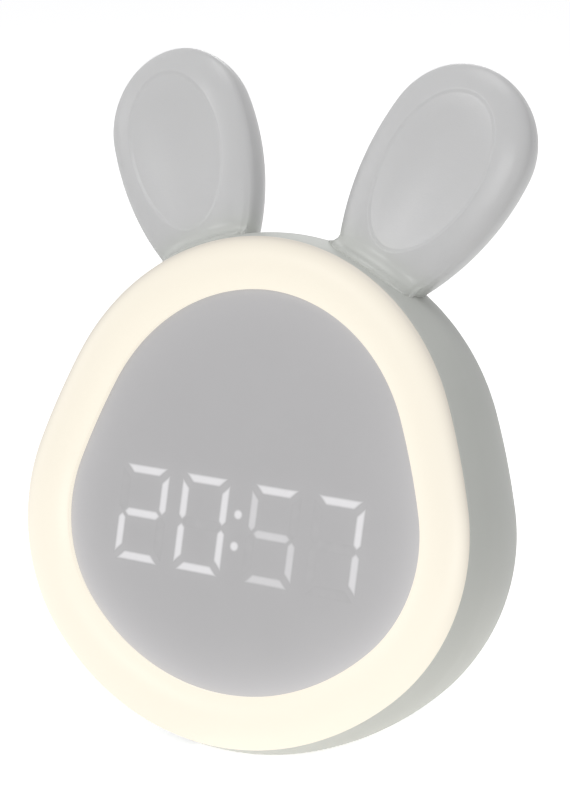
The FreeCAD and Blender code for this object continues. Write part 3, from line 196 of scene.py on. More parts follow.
# Shader helper: a socket with overloaded operators
class Wire:
    def __init__(self, tree, socket):
        self.tree = tree
        self.socket = socket

    def maths(self, operation, *others):
        values = dict(enumerate((self,) + others))
        return addNode(self.tree, "ShaderNodeMath", {"operation": operation}, values)(0)

    def __add__(self, other):
        return self.maths("ADD", other)

    __radd__ = __add__

    def __mul__(self, other):
        return self.maths("MULTIPLY", other)

    __rmul__ = __mul__

    def clamped(self):
        return addNode(self.tree, "ShaderNodeClamp", None, {0: self})(0)

    def mixed(self, first, second):
        # a colour between two, by this factor
        return addNode(self.tree, "ShaderNodeMix", {"data_type": "RGBA"}, {0: self, 6: first, 7: second})(2)


def addNode(tree, kind, settings=None, sockets=None):
    # makes a node, sets it up and gives back a function that picks one of its outputs
    node = tree.nodes.new(kind)
    for key, value in (settings or {}).items():
        setattr(node, key, value)
    for key, value in (sockets or {}).items():
        plug(tree, node, key, value)
    return lambda key: Wire(tree, node.outputs[key])


def plug(tree, node, key, value):
    # a wire is linked, and a colour of three numbers gets its fourth
    if isinstance(value, Wire):
        tree.links.new(value.socket, node.inputs[key])
    elif isinstance(value, tuple) and len(value) == 3 and node.inputs[key].type == "RGBA":
        node.inputs[key].default_value = value + (1.0,)
    else:
        node.inputs[key].default_value = value


def linear(*levels):
    # written 0 to 255 levels to linear light
    share = np.array(levels) / 255
    light = np.where(share <= 0.04045, share / 12.92, ((share + 0.055) / 1.055) ** 2.4)
    return tuple(light.tolist())


def darker(colour, share):
    return tuple(channel * share for channel in colour)


def newMaterial(name):
    material = bpy.data.materials.new(name)
    material.use_nodes = True
    material.node_tree.nodes.clear()
    return material, material.node_tree


def surface(tree, sockets):
    shader = addNode(tree, "ShaderNodeBsdfPrincipled", None, sockets)
    addNode(tree, "ShaderNodeOutputMaterial", None, {"Surface": shader("BSDF")})


def objectPlace(tree):
    return addNode(tree, "ShaderNodeTexCoord")("Object")


def painted(tree, name):
    return addNode(tree, "ShaderNodeAttribute", {"attribute_name": name})("Fac")


def noise(tree, place, scale, detail=2.0):
    return addNode(tree, "ShaderNodeTexNoise", None, {"Vector": place, "Scale": scale, "Detail": detail})(0)


def bumped(tree, height, distance):
    return addNode(tree, "ShaderNodeBump", None, {"Distance": distance, "Height": height})(0)


def mouldedPlastic(name, colour, roughness=0.45, grain=0.00002, neck=None):
    # satin moulding: faint flow marks in the colour, a fine spark-eroded grain in the surface
    material, tree = newMaterial(name)
    place = objectPlace(tree)
    flow = noise(tree, place, 35.0, 3.0)
    speck = noise(tree, place, 2600.0)
    tint = flow.mixed(darker(colour, 0.96), colour)
    if neck:
        tint = painted(tree, "neck").clamped().mixed(tint, neck)
    surface(tree, {"Base Color": tint, "Roughness": speck * 0.12 + (roughness - 0.06),
                   "Specular IOR Level": 0.4, "Normal": bumped(tree, speck + flow * 0.6, grain)})
    return material


print("frame loaded, display centre at", np.round(displayCentre, 2))

# Camera: looks at the middle of the object as the photograph does
view = {"azimuth": 32.287, "elevation": 14.90, "roll": 0.117, "lens": 106.6,
        "place": (297.15, -458.14, 162.91),
        "picture": (570, 800), "middle": (265.0, 460.0)}  # in pixels; the camera looks at middle


def makeCamera():
    data = bpy.data.cameras.new("camera")
    data.sensor_fit = "VERTICAL"
    data.sensor_height = 36.0
    data.lens = view["lens"]
    width, height = view["picture"]
    data.shift_x = (width / 2 - view["middle"][0]) / height
    data.shift_y = (view["middle"][1] - height / 2) / height
    camera = bpy.data.objects.new("camera", data)
    scene.collection.objects.link(camera)
    camera.location = Vector((np.array(view["place"]) + displayCentre) / 1000)
    camera.rotation_mode = "XYZ"
    turn = Matrix.Rotation(math.radians(view["azimuth"]), 4, "Z") @ Matrix.Rotation(
        math.radians(90 - view["elevation"]), 4, "X") @ Matrix.Rotation(math.radians(-view["roll"]), 4, "Z")
    camera.rotation_euler = turn.to_euler("XYZ")
    scene.camera = camera


makeCamera()


# Housing shell: lofted from the front rim over the rounded back into the cover's recess
def rearArc(degrees, inward):
    # quarter ellipse from the girth to the rear, moved inwards by a wall
    turns = np.radians(degrees)
    depth = housing["girthDepth"] + (housing["backLength"] - inward) * np.sin(turns)
    inset = inward - housing["girthBulge"] + housing["backInset"] * (1 - np.cos(turns))
    return np.stack([depth, inset], -1).tolist()


def housingProfile():
    # depth and inset, from inside the front rim over the skin to the recess and back along the wall's inside
    wall, rim, cover = housing["wall"], housing["rimDepth"], housing["coverInset"]
    floor, ledge = rearDepth - housing["coverThickness"], cover + housing["ledgeWidth"]
    inner = [(6.0, wall), (rim + 0.3, wall), (rim, wall - 0.3)]
    lip = [(rim, 0.35), (rim + 0.1, 0.1), (rim + 0.35, -0.06)]
    front = np.linspace(rim + 0.8, housing["girthDepth"], 14)
    side = np.stack([front, skinInset(front)], -1).tolist()
    recess = [(rearDepth, cover - 0.9), (rearDepth - 0.02, cover - 0.4), (rearDepth - 0.15, cover - 0.1),
              (rearDepth - 0.4, cover), (floor, cover), (floor, ledge), (floor - 2.5, ledge)]
    return (inner + lip + side + rearArc(np.linspace(4, 88, 34), 0.0) + recess
            + rearArc(np.linspace(74, 0, 16), wall))


def ledRound(profile, turns):
    # a profile of depth and inset led round the egg outline
    depth, inset = (np.array(column)[:, None] for column in zip(*profile))
    across, up = eggOutline(turns, inset)
    return toWorld(across, depth, up)


def makeHousing():
    # the profile led round the egg outline, held above the belly's flat underside
    points = ledRound(housingProfile(), eggTurns(360))
    points[..., 2] = np.maximum(points[..., 2], (displayCentre[2] - housing["baseDrop"]) / 1000)
    shell = meshPiece("housing", points, gridFaces(*points.shape[:2], closed=True))
    orient(shell)
    return shell


# Sleeves round the rear feet: radius and height over the belly's underside
footSleeve = {"across": 14.0, "back": 30.0,
              "profile": [(4.75, 0.6), (4.75, 0.15), (4.9, 0.0), (5.6, 0.0), (5.88, 0.12), (6.0, 0.4),
                          (6.05, 3.0), (6.3, 6.0), (6.6, 11.0), (4.75, 11.0)]}


def makeStub(name, side):
    # the profile led round an upright axis, from the bore's lip up into the belly
    profile = [(radius, rise - housing["baseDrop"]) for radius, rise in footSleeve["profile"]]
    return revolve(name, profile, (side * footSleeve["across"], footSleeve["back"]), 64, "level", True)


shell = makeHousing()
stubs = [makeStub("foot_stub_left", -1), makeStub("foot_stub_right", 1)]
print("housing done")

# Ears: an egg-shaped plate with a soft round edge in front and a full back, a shallow dish in its face
# and a neck that flows into the housing
ear = {"splay": 26.8, "tilt": 2.6, "out": 20.0, "back": 8.8, "up": 58.9,
       "length": 61.97, "root": 13.6, "tip": 19.5, "side": 65.0,
       "front": 4.6, "edgeRound": 12.0, "crown": 0.35, "crownReach": 14.0, "rear": 0.94}
earDish = {"up": 34.7, "length": 21.0, "width": 13.15, "egg": 0.07, "lip": 0.22, "lipWidth": 1.3, "rim": 0.7,
           "bowl": 1.6}
earNeck = {"front": 3.6, "side": 0.2, "rear": 2.0, "blend": 5.0}  # fillet radii and the colours' blend


def earWidth(along):
    # half width along the ear: a root circle, a long side arc and a tip circle, tangent to each other
    rootUp, tipUp = ear["root"], ear["length"] - ear["tip"]
    span = tipUp - rootUp
    toRoot, toTip = ear["side"] - ear["root"], ear["side"] - ear["tip"]
    middle = (toRoot ** 2 - toTip ** 2 + span ** 2) / (2 * span)
    aside = math.sqrt(toRoot ** 2 - middle ** 2)
    centre = rootUp + middle
    lowJoin = centre + (rootUp - centre) * ear["side"] / toRoot
    highJoin = centre + (tipUp - centre) * ear["side"] / toTip
    root = np.sqrt(np.clip(ear["root"] ** 2 - (along - rootUp) ** 2, 0, None))
    tip = np.sqrt(np.clip(ear["tip"] ** 2 - (along - tipUp) ** 2, 0, None))
    side = np.sqrt(np.clip(ear["side"] ** 2 - (along - centre) ** 2, 0, None)) - aside
    return np.where(along < lowJoin, root, np.where(along > highJoin, tip, side))


def smoothStep(value):
    value = np.clip(value, 0, 1)
    return value * value * (3 - 2 * value)


def polarLoop(angle, along, across):
    # how far a closed curve lies from the dish's centre at each angle
    curveAngle = np.unwrap(np.arctan2(across, along))
    return np.interp(angle, curveAngle, np.hypot(across, along), period=2 * math.pi)


def earSurface():
    # rings round the dish's centre: over its floor and lip, to the outline, and round to the back's middle
    angle = np.linspace(0, 2 * math.pi, 240, endpoint=False)
    along = ear["length"] / 2 * (1 - np.cos(np.linspace(0, math.pi, 1500)))
    half = earWidth(along)
    loopAlong = np.concatenate([along[::-1], along]) - earDish["up"]
    outline = polarLoop(angle, loopAlong, np.concatenate([half[::-1], -half]))
    turn = np.linspace(0, 2 * math.pi, 1500)
    dishAcross = earDish["width"] * (1 + earDish["egg"] * np.cos(turn)) * np.sin(turn)
    dish = polarLoop(angle, earDish["length"] * np.cos(turn), dishAcross)

    lipStart = dish - earDish["lipWidth"]
    overFloor = lipStart * np.linspace(0.02, 1, 26)[:-1, None]
    overLip = lipStart + (earDish["lipWidth"] + earDish["rim"]) * np.linspace(0, 1, 18)[:, None]
    toOutline = overLip[-1] + (outline - overLip[-1]) * np.sin(np.linspace(0, 1, 34)[1:, None] * math.pi / 2)
    behind = outline * np.maximum(np.cos(np.linspace(0, 1, 44)[1:, None] * math.pi / 2), 0.002)

    # front: a quarter ellipse over the distance from the outline and a slight crown, less the dish
    dished = np.concatenate([overFloor, overLip])
    reach = np.concatenate([dished, toOutline])
    place = np.stack([reach * np.sin(angle), reach * np.cos(angle)], -1)
    edge = np.stack([outline * np.sin(angle), outline * np.cos(angle)], -1)
    away = np.stack([np.sqrt(((row[:, None] - edge) ** 2).sum(-1).min(1)) for row in place])
    share = np.clip(away / ear["edgeRound"], 0, 1)
    crown = ear["crown"] * np.clip(away / ear["crownReach"], 0, 1)
    front = -(ear["front"] * np.sqrt(1 - (1 - share) ** 2) + crown)
    lip = earDish["lip"] * smoothStep((dish - dished + earDish["rim"] / 2) / earDish["lipWidth"])
    front[:len(dished)] += lip + earDish["bowl"] * (1 - np.clip(dished / dish, 0, 1) ** 2)

    # rear: a half ellipse over the width at each height
    width = earWidth(earDish["up"] + behind * np.cos(angle))
    rear = ear["rear"] * np.sqrt(np.clip(width ** 2 - (behind * np.sin(angle)) ** 2, 0, None))
    reach = np.concatenate([reach, behind])
    return reach * np.sin(angle), np.concatenate([front, rear]), earDish["up"] + reach * np.cos(angle)


def earPlace(side, across, depth, along):
    # tilt about the root, then splay to its side
    tilt, splay = math.radians(ear["tilt"]), math.radians(ear["splay"]) * side
    back = depth * math.cos(tilt) + along * math.sin(tilt)
    rise = along * math.cos(tilt) - depth * math.sin(tilt)
    x = side * ear["out"] + across * math.cos(splay) + rise * math.sin(splay)
    up = ear["up"] - across * math.sin(splay) + rise * math.cos(splay)
    return x, ear["back"] + back, up


def gridNormals(across, depth, along):
    # normals of the ring grid from its own neighbours, pointing away from the ear's middle line
    points = np.stack([across, depth, along], -1)
    normal = np.cross(np.roll(points, -1, 1) - np.roll(points, 1, 1), np.gradient(points, axis=0))
    normal /= np.linalg.norm(normal, axis=-1, keepdims=True) + 1e-9
    outward = np.stack([across, depth, 0 * along], -1)
    return normal * np.sign((normal * outward).sum(-1, keepdims=True) + 1e-9)


def makeEar(name, side):
    # each point near the housing moves out along its normal by a quarter circle's offset at its height
    across, depth, along = earSurface()
    normal = gridNormals(across, depth, along)
    x, back, up = earPlace(side, across, depth, along)
    above = eggDistance(x, up) + skinInset(back)
    forward = smoothStep((-normal[..., 1] - 0.35) / 0.6)
    behind = smoothStep((normal[..., 1] - 0.35) / 0.6)
    radius = earNeck["side"] + (earNeck["front"] - earNeck["side"]) * forward
    radius = radius + (earNeck["rear"] - earNeck["side"]) * behind
    height = np.clip(above, 0, radius)
    flare = radius - np.sqrt(np.clip(radius ** 2 - (radius - height) ** 2, 0, None))
    flare = flare * (along < earDish["up"])
    x, back, up = earPlace(side, across + flare * normal[..., 0], depth + flare * normal[..., 1], along)
    piece = meshPiece(name, toWorld(x, back, up), cappedFaces(*across.shape))
    paint(piece, "neck", np.exp(-(np.clip(above, 0, None) / earNeck["blend"]) ** 2))
    orient(piece)
    return piece


ears = [makeEar("ear_left", -1), makeEar("ear_right", 1)]
print("ears done")

# Glowing ring: convex milky band with its skirts behind
ring = {"band": 12.65, "edge": -1.4, "rise": 1.98, "paintedEdgeShade": 0.09, "paintedTopShade": 0.26}


def makeRing():
    # a circular arc across the band between two skirts, led round the egg outline
    turns = eggTurns(360)
    span = ring["band"] / 2
    radius = (span ** 2 + ring["rise"] ** 2) / (2 * ring["rise"])
    shares = np.linspace(0.01, 0.99, 31)
    lift = np.sqrt(radius ** 2 - ((shares * 2 - 1) * span) ** 2) - (radius - ring["rise"])
    outerSkirt = [(3.0, 2.35), (-1.0, 2.35), (-1.0, 0.12), (-1.08, 0.02), (-1.3, 0.0)]  # depth and inset
    innerSkirt = [(-1.36, ring["band"]), (-1.1, ring["band"] + 0.02), (-0.06, ring["band"]), (-0.05, 11.9),
                  (3.9, 11.85)]
    points = ledRound(outerSkirt + list(zip(ring["edge"] - lift, shares * ring["band"])) + innerSkirt, turns)
    band = meshPiece("glow_ring", points, gridFaces(*points.shape[:2], closed=True))
    # painted shade on the glow: falls off from the outer edge, most of all at the top
    fromEdge = np.concatenate([np.zeros(len(outerSkirt)), shares, np.ones(len(innerSkirt))])[:, None]
    upper = smoothStep(0.5 + 0.75 * np.cos(turns))
    paintedEdgeShade = np.exp(-fromEdge / ring["paintedEdgeShade"]) * (0.05 + 0.95 * upper)
    paint(band, "fade", paintedEdgeShade + ring["paintedTopShade"] * upper * (1 - fromEdge))
    orient(band)
    return band


glowRing = makeRing()
print("ring done")

# Digits: bars of a seven-bar display, as outlines in the display plane
digits = {"width": 11.6, "height": 21.6, "bar": 1.7, "levelEnd": 1.2, "middleEnd": 1.3, "uprightEnd": 0.7,
          "pitch": 17.6, "pair": 20.0, "shift": -0.6, "colonUp": 3.85, "colonRadius": 1.0, "corner": 0.35}
digitMiddles = digits["shift"] + np.array([-1, -1, 1, 1]) * digits["pair"] / 2
digitMiddles += np.array([-1, 0, 0, 1]) * digits["pitch"]
shownBars = ["abged", "abcdef", "afgcd", "abc"]
dimBars = {(2, "f"): 0.6, (2, "g"): 0.6, (2, "c"): 0.6, (2, "d"): 0.6, (3, "c"): 0.8}  # fainter lamps


def barStrength(number, kind):
    return dimBars.get((number, kind), 1.0)


def barOutline(kind, middle):
    # level bars are cut at 45 degrees towards the uprights, and the uprights end in points
    half, rise, thick = digits["width"] / 2, digits["height"] / 2, digits["bar"] / 2
    if kind == "g":
        reach = half - digits["middleEnd"] + thick * 0.5
        shape = [(-reach, 0), (-reach + thick, thick), (reach - thick, thick), (reach, 0),
                 (reach - thick, -thick), (-reach + thick, -thick)]
        return [(middle + x, up) for x, up in shape]
    if kind in "ad":
        reach = half - digits["levelEnd"] + thick
        sign = 1 if kind == "a" else -1
        shape = [(-reach, sign * thick), (reach, sign * thick),
                 (reach - 2 * thick, -sign * thick), (-reach + 2 * thick, -sign * thick)]
        return [(middle + x, rise * sign + up) for x, up in shape]
    sign = 1 if kind in "bc" else -1
    upward = 1 if kind in "bf" else -1
    low, high = digits["uprightEnd"], rise - digits["uprightEnd"] - 0.3
    shape = [(0, low), (sign * thick, low + thick), (sign * thick, high),
             (-sign * thick, high - 2 * thick), (-sign * thick, low + thick)]
    return [(middle + sign * half + x, upward * up) for x, up in shape]


def inwardLoop(loop, distance):
    # each side moved in by a distance, corners where the moved sides meet
    points = np.array(loop)
    area = np.sum(points[:, 0] * np.roll(points[:, 1], -1) - np.roll(points[:, 0], -1) * points[:, 1])
    if area < 0:
        points = points[::-1]
    ahead = np.roll(points, -1, 0) - points
    ahead = ahead / np.linalg.norm(ahead, axis=1)[:, None]
    normal = np.stack([-ahead[:, 1], ahead[:, 0]], -1)
    before = np.roll(normal, 1, 0)
    corner = (normal + before) / (1 + np.sum(normal * before, 1))[:, None]
    return points + corner * distance


def roundedLoop(loop, radius, steps=4):
    # corners replaced by short arcs of a quadratic curve
    points = np.array(loop)
    sides = np.stack([np.roll(points, 1, 0) - points, np.roll(points, -1, 0) - points])
    length = np.linalg.norm(sides, axis=-1, keepdims=True)
    before, after = sides / length * np.minimum(radius, length * 0.4)
    share = np.linspace(0, 1, steps)[:, None]
    return (points[:, None] + before[:, None] * (1 - share) ** 2 + after[:, None] * share ** 2).reshape(-1, 2)


# rows of a bar's flat lens: how far in from the outline, depth, and share of the full light
barLens = np.array([(-0.5, -0.004, 0.0), (-0.28, -0.008, 0.12), (-0.06, -0.012, 0.5), (0.16, -0.015, 0.86),
                    (0.4, -0.018, 1.0)])


def barMesh(loops, strengths, name):
    # every bar is a flat lens: its rim blends into the window and its middle is fully lit
    places, faces, glow, start = [], [], [], 0
    for loop, strength in zip(loops, strengths):
        flat = np.stack([roundedLoop(inwardLoop(loop, inset), digits["corner"]) for inset in barLens[:, 0]])
        count = flat.shape[1]
        places.append(toWorld(flat[..., 0], barLens[:, 1, None], flat[..., 1]).reshape(-1, 3))
        glow.append(np.repeat(barLens[:, 2] * strength, count))
        faces += cappedFaces(len(barLens), count, start)
        start += len(barLens) * count
    piece = meshPiece(name, np.concatenate(places), faces, False)
    paint(piece, "glow", np.concatenate(glow))
    orient(piece)
    return piece


def dotLoop(sign):
    angle = np.linspace(0, 2 * math.pi, 16, endpoint=False)
    return np.stack([digits["shift"] + digits["colonRadius"] * np.cos(angle),
                     sign * digits["colonUp"] + digits["colonRadius"] * np.sin(angle)], -1)


litBars = [(number, kind) for number in range(4) for kind in shownBars[number]]
darkBars = [(number, kind) for number in range(4) for kind in "abcdefg" if kind not in shownBars[number]]
litPiece = barMesh([barOutline(kind, digitMiddles[number]) for number, kind in litBars],
                   [barStrength(*bar) for bar in litBars], "digits_lit")
darkPiece = barMesh([barOutline(kind, digitMiddles[number]) for number, kind in darkBars],
                    [1.0] * len(darkBars), "digits_dark")
colonPiece = barMesh([dotLoop(1), dotLoop(-1)], [1.0, 1.0], "colon_lit")


# Display window: one sheet from under the ring's lip to its middle
pane = {"inset": 12.0, "middleUp": 9.0, "thickness": 2.0, "lip": 0.3, "heart": 0.004, "rows": 110,
        "haloCore": 0.7, "haloReach": 2.2, "haloPower": 1.3,
        "spill": 1.2, "spillReach": 5.0, "topLoss": 0.82, "footLoss": 0.35}


def makeWindow():
    # the egg outline shrunk towards one middle, first across the back, then over the edge and the front
    turns = eggTurns(360)
    across, up = eggOutline(turns, pane["inset"])
    front = np.linspace(1.0, pane["heart"], pane["rows"])
    share = np.concatenate([[pane["heart"], 1.0, 1.0], front])[:, None]
    depth = np.zeros(share.shape)
    depth[:3, 0] = pane["thickness"], pane["thickness"], pane["lip"]
    flatX, flatUp = across * share, pane["middleUp"] + (up - pane["middleUp"]) * share
    piece = meshPiece("window", toWorld(flatX, depth, flatUp), cappedFaces(*flatX.shape))

    # painted halo: the lit bars' light painted on the window, falling off with the distance from each lit bar
    halo = np.zeros(flatX.shape)
    for number, kind in litBars:
        loop = np.array(barOutline(kind, digitMiddles[number]))
        low, high = loop.min(0) + pane["haloCore"], loop.max(0) - pane["haloCore"]
        apart = np.hypot(np.maximum(0, np.maximum(low[0] - flatX, flatX - high[0])),
                         np.maximum(0, np.maximum(low[1] - flatUp, flatUp - high[1])))
        halo += barStrength(number, kind) * np.exp(-(apart / pane["haloReach"]) ** pane["haloPower"])
    paint(piece, "halo", halo)

    # painted spill: the ring's light painted on the window, which falls off from the edge and is weaker at
    # the top
    away = np.hypot(across * (1 - share), (up - pane["middleUp"]) * (1 - share))
    away[:3] = 0
    loss = pane["topLoss"] * smoothStep(flatUp / 90 + 0.5) + pane["footLoss"] * smoothStep(-flatUp / 60)
    paint(piece, "spill", np.exp(-away / pane["spillReach"]) * (pane["spill"] - loss))
    orient(piece)
    return piece


window = makeWindow()
print("display done")


# Slide switch's knob: a soft-edged block with cross ribs on its top, and its guide plate inside the cover
knob = {"length": 2.2, "width": 2.0, "corner": 0.25, "edge": 0.18, "ribs": 3, "ribRise": 0.14, "proud": 1.2,
        "up": -9.5, "guideLength": 6.4, "guideWidth": 3.4, "guideThickness": 0.9, "guideDepth": 45.8}


def squareLoop(halfLength, halfWidth, corner, count=96):
    # rounded rectangle: a point led round at even turns, held to the sides and rounded at the corners
    angle = np.linspace(0, 2 * math.pi, count, endpoint=False)
    power = 2 / corner
    size = (np.abs(np.cos(angle)) ** power + np.abs(np.sin(angle)) ** power) ** (-1 / power)
    return halfLength * size * np.cos(angle), halfWidth * size * np.sin(angle)


def makeKnob(name):
    # rounded rectangles stacked from the guide plate up the post; the top's depth is a cosine along the slide
    low, high = (np.array(corner) * 1000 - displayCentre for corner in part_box("alarm_switch_knob"))
    middle = (low[0] + high[0]) / 2
    top, plateFront = rearDepth + knob["proud"], knob["guideDepth"]
    plateBack = plateFront + knob["guideThickness"]
    post = knob["length"] / 2, knob["width"] / 2
    guide = knob["guideLength"] / 2, knob["guideWidth"] / 2
    rows = []
    for half, depth in ((post, plateFront - 0.3), (post, plateFront), (guide, plateFront), (guide, plateBack),
                        (post, plateBack), (post, top - 0.35)):
        x, up = squareLoop(*half, knob["corner"])
        rows.append(toWorld(middle + x, depth, knob["up"] + up))
    for share in np.linspace(1, 0.02, 16):
        corner = knob["corner"] + 0.3 * (1 - share)
        x, up = squareLoop((post[0] - 0.04) * share, (post[1] - 0.04) * share, corner)
        rib = 0.5 + 0.5 * np.cos(x / post[0] * math.pi * knob["ribs"])
        depth = top - knob["ribRise"] * (1 - rib) - knob["edge"] * smoothStep((share - 0.8) / 0.2)
        rows.append(toWorld(middle + x, depth, knob["up"] + up))
    piece = meshPiece(name, np.stack(rows), cappedFaces(len(rows), len(x)), False)
    orient(piece)
    return piece


knobPiece = makeKnob("alarm_knob_ribbed")

# Push buttons: dished caps with a raised mark. Profile: radius and depth, from the dish's middle to the stem
button = {"face": 49.9,
          "profile": [(0.01, 49.9), (1.6, 50.02), (2.3, 50.3), (2.75, 50.44), (3.0, 50.46), (3.18, 50.38),
                      (3.27, 50.2), (3.3, 49.9), (3.3, 46.9), (4.2, 46.9), (4.2, 46.0), (1.6, 46.0),
                      (1.6, 45.1), (0.01, 45.1)],
          "across": {"button_mode": -15.0, "button_down": -5.0, "button_up": 5.0, "button_light": 15.0},
          "rings": {"button_mode": (0.75, 1.15), "button_light": (0.02, 0.62)},  # inner and outer radius
          "bars": {"button_down": [(1.1, 0.22)], "button_up": [(1.1, 0.22), (0.22, 1.1)]},  # half sizes
          "barCorner": 0.18}


def makeButton(name, across):
    # the cap's profile led round its own axis, and its mark on the dish
    face = button["face"]
    pieces = [revolve(name + "_cap", button["profile"], (across, 0.0), 72)]
    for number, half in enumerate(button["bars"].get(name, [])):
        pieces.append(markBar("%s_cap_mark_%d" % (name, number), across, *half))
    if name in button["rings"]:
        inner, outer = button["rings"][name]
        ridge = [(inner, face), (inner, face + 0.35), ((inner + outer) / 2, face + 0.42),
                 (outer, face + 0.35), (outer, face)]
        pieces.append(revolve(name + "_cap_mark", ridge, (across, 0.0), 40, "back", True))
    return pieces


def markBar(name, across, halfWidth, halfHeight):
    # rounded outlines stacked by depth, the last one drawn in for a softened top
    rows = []
    for rise, inset in ((0.0, 0.0), (0.3, 0.0), (0.4, 0.07)):
        wide, tall = halfWidth - inset, halfHeight - inset
        loop = roundedLoop([(-wide, -tall), (wide, -tall), (wide, tall), (-wide, tall)], button["barCorner"])
        rows.append(toWorld(across + loop[:, 0], button["face"] + rise, loop[:, 1]))
    piece = meshPiece(name, np.stack(rows), cappedFaces(len(rows), len(loop)))
    orient(piece)
    return piece


buttonPieces = {name: makeButton(name, across) for name, across in button["across"].items()}
print("buttons done")

# Materials
shellPlastic = mouldedPlastic("housing_plastic", linear(200, 202, 197), 0.5)
earPlastic = mouldedPlastic("ear_plastic", linear(207, 207, 207), 0.3, neck=linear(200, 202, 197))
coverPlastic = mouldedPlastic("cover_plastic", linear(200, 202, 198), 0.55, grain=0.00003)
buttonPlastic = mouldedPlastic("button_plastic", linear(219, 220, 217), 0.4)


# Light that the milky ring and the lit bars give off themselves, and painted glow on the window and the unlit
# bars
# ring glow: the full colour, the colour of the painted shade at the outer edge and top, and a random cloud
# tone
glowLook = {"full": (0.80, 0.745, 0.628), "faded": (0.46, 0.42, 0.37), "cloud": (0.77, 0.70, 0.57)}
# window emission: an even painted glow, raised towards bright by the painted spill and the painted halo
windowLook = {"spill": 0.23, "halo": 0.02, "paintedGlow": (0.172, 0.171, 0.173), "bright": (1.0, 0.98, 1.0)}
# bar emission: the lamp's level on lit bars, and the window's painted glow level at the rims and on the unlit
# bars
barLook = {"rim": (0.180, 0.179, 0.181), "lit": (0.50, 0.495, 0.505), "unlit": (0.188, 0.187, 0.189)}


def makeGlow():
    # milky diffuser lit from behind: warm and even, a little darker towards its outer edge through painted
    # shade
    material, tree = newMaterial("ring_diffuser")
    place = objectPlace(tree)
    cloud = noise(tree, place, 22.0)
    warm = painted(tree, "fade").clamped().mixed(glowLook["full"], glowLook["faded"])
    surface(tree, {"Base Color": cloud.mixed(linear(120, 118, 112), linear(126, 124, 118)),
                   "Emission Color": (cloud * 0.1).mixed(warm, glowLook["cloud"]), "Emission Strength": 1.0,
                   "Roughness": cloud * 0.1 + 0.35,
                   "Normal": bumped(tree, noise(tree, place, 1800.0), 0.00001)})
    return material


def makeWindowMaterial():
    # smoked sheet with a painted glow: a dim even level, brighter beside the ring and round the lit bars
    material, tree = newMaterial("window_plastic")
    place = objectPlace(tree)
    cloud, speck = noise(tree, place, 60.0), noise(tree, place, 2400.0)
    light = painted(tree, "spill") * windowLook["spill"] + painted(tree, "halo") * windowLook["halo"]
    surface(tree, {"Base Color": cloud.mixed(linear(146, 145, 146), linear(150, 149, 150)),
                   "Emission Color": light.clamped().mixed(windowLook["paintedGlow"], windowLook["bright"]),
                   "Emission Strength": 1.0, "Roughness": speck * 0.1 + 0.4,
                   "Normal": bumped(tree, speck, 0.000008)})
    return material


def makeBarMaterial(name, bright):
    # the window's painted glow level at a bar's rim, and at its middle the lamp's level, which on an unlit
    # bar is a painted glow too
    material, tree = newMaterial(name)
    cloud = noise(tree, objectPlace(tree), 400.0)
    surface(tree, {"Base Color": cloud.mixed(linear(140, 139, 140), linear(150, 149, 150)),
                   "Emission Color": painted(tree, "glow").clamped().mixed(barLook["rim"], bright),
                   "Emission Strength": 1.0, "Roughness": cloud * 0.1 + 0.4})
    return material


glowMaterial = makeGlow()
windowMaterial = makeWindowMaterial()
litMaterial = makeBarMaterial("digit_lit", barLook["lit"])
darkMaterial = makeBarMaterial("digit_dark", barLook["unlit"])


def metal(name, colour, roughness=0.3):
    # fine brushing in the colour, the gloss and the relief
    material, tree = newMaterial(name)
    brushed = noise(tree, objectPlace(tree), 900.0, 3.0)
    surface(tree, {"Base Color": brushed.mixed(darker(colour, 0.85), colour), "Metallic": 1.0,
                   "Roughness": brushed * 0.2 + roughness, "Normal": bumped(tree, brushed, 0.00001)})
    return material


def rubber(name, colour):
    # matt, with a coarser grain
    material, tree = newMaterial(name)
    grain = noise(tree, objectPlace(tree), 1500.0, 3.0)
    surface(tree, {"Base Color": grain.mixed(darker(colour, 0.8), colour),
                   "Roughness": grain * 0.1 + 0.78, "Normal": bumped(tree, grain, 0.00004)})
    return material


def circuitBoard():
    # green solder mask with darker tracks along the borders of a cell pattern
    material, tree = newMaterial("circuit_board")
    cells = addNode(tree, "ShaderNodeTexVoronoi", {"feature": "DISTANCE_TO_EDGE"},
                    {"Vector": objectPlace(tree), "Scale": 240.0})
    between = (cells(0) * 14.0).clamped()
    surface(tree, {"Base Color": between.mixed(linear(28, 118, 72), linear(16, 84, 50)),
                   "Roughness": between * 0.1 + 0.3, "Normal": bumped(tree, between, 0.00003)})
    return material


board = circuitBoard()
steel = metal("steel", (0.62, 0.62, 0.64))
darkMetal = metal("dark_metal", (0.22, 0.22, 0.23), 0.4)
whiteInner = mouldedPlastic("tray_plastic", linear(236, 236, 234), 0.5)
blackPlastic = mouldedPlastic("black_plastic", linear(38, 38, 40), 0.5)
ivoryPlastic = mouldedPlastic("connector_plastic", linear(226, 221, 204), 0.45)
lampPlastic = mouldedPlastic("lamp_filling", linear(246, 236, 180), 0.25)
filmPlastic = mouldedPlastic("film", linear(176, 118, 42), 0.25)
sleevePlastic = mouldedPlastic("cell_sleeve", linear(44, 108, 168), 0.3)
footRubber = rubber("foot_rubber", linear(150, 150, 148))
blackRubber = rubber("black_rubber", linear(34, 34, 34))

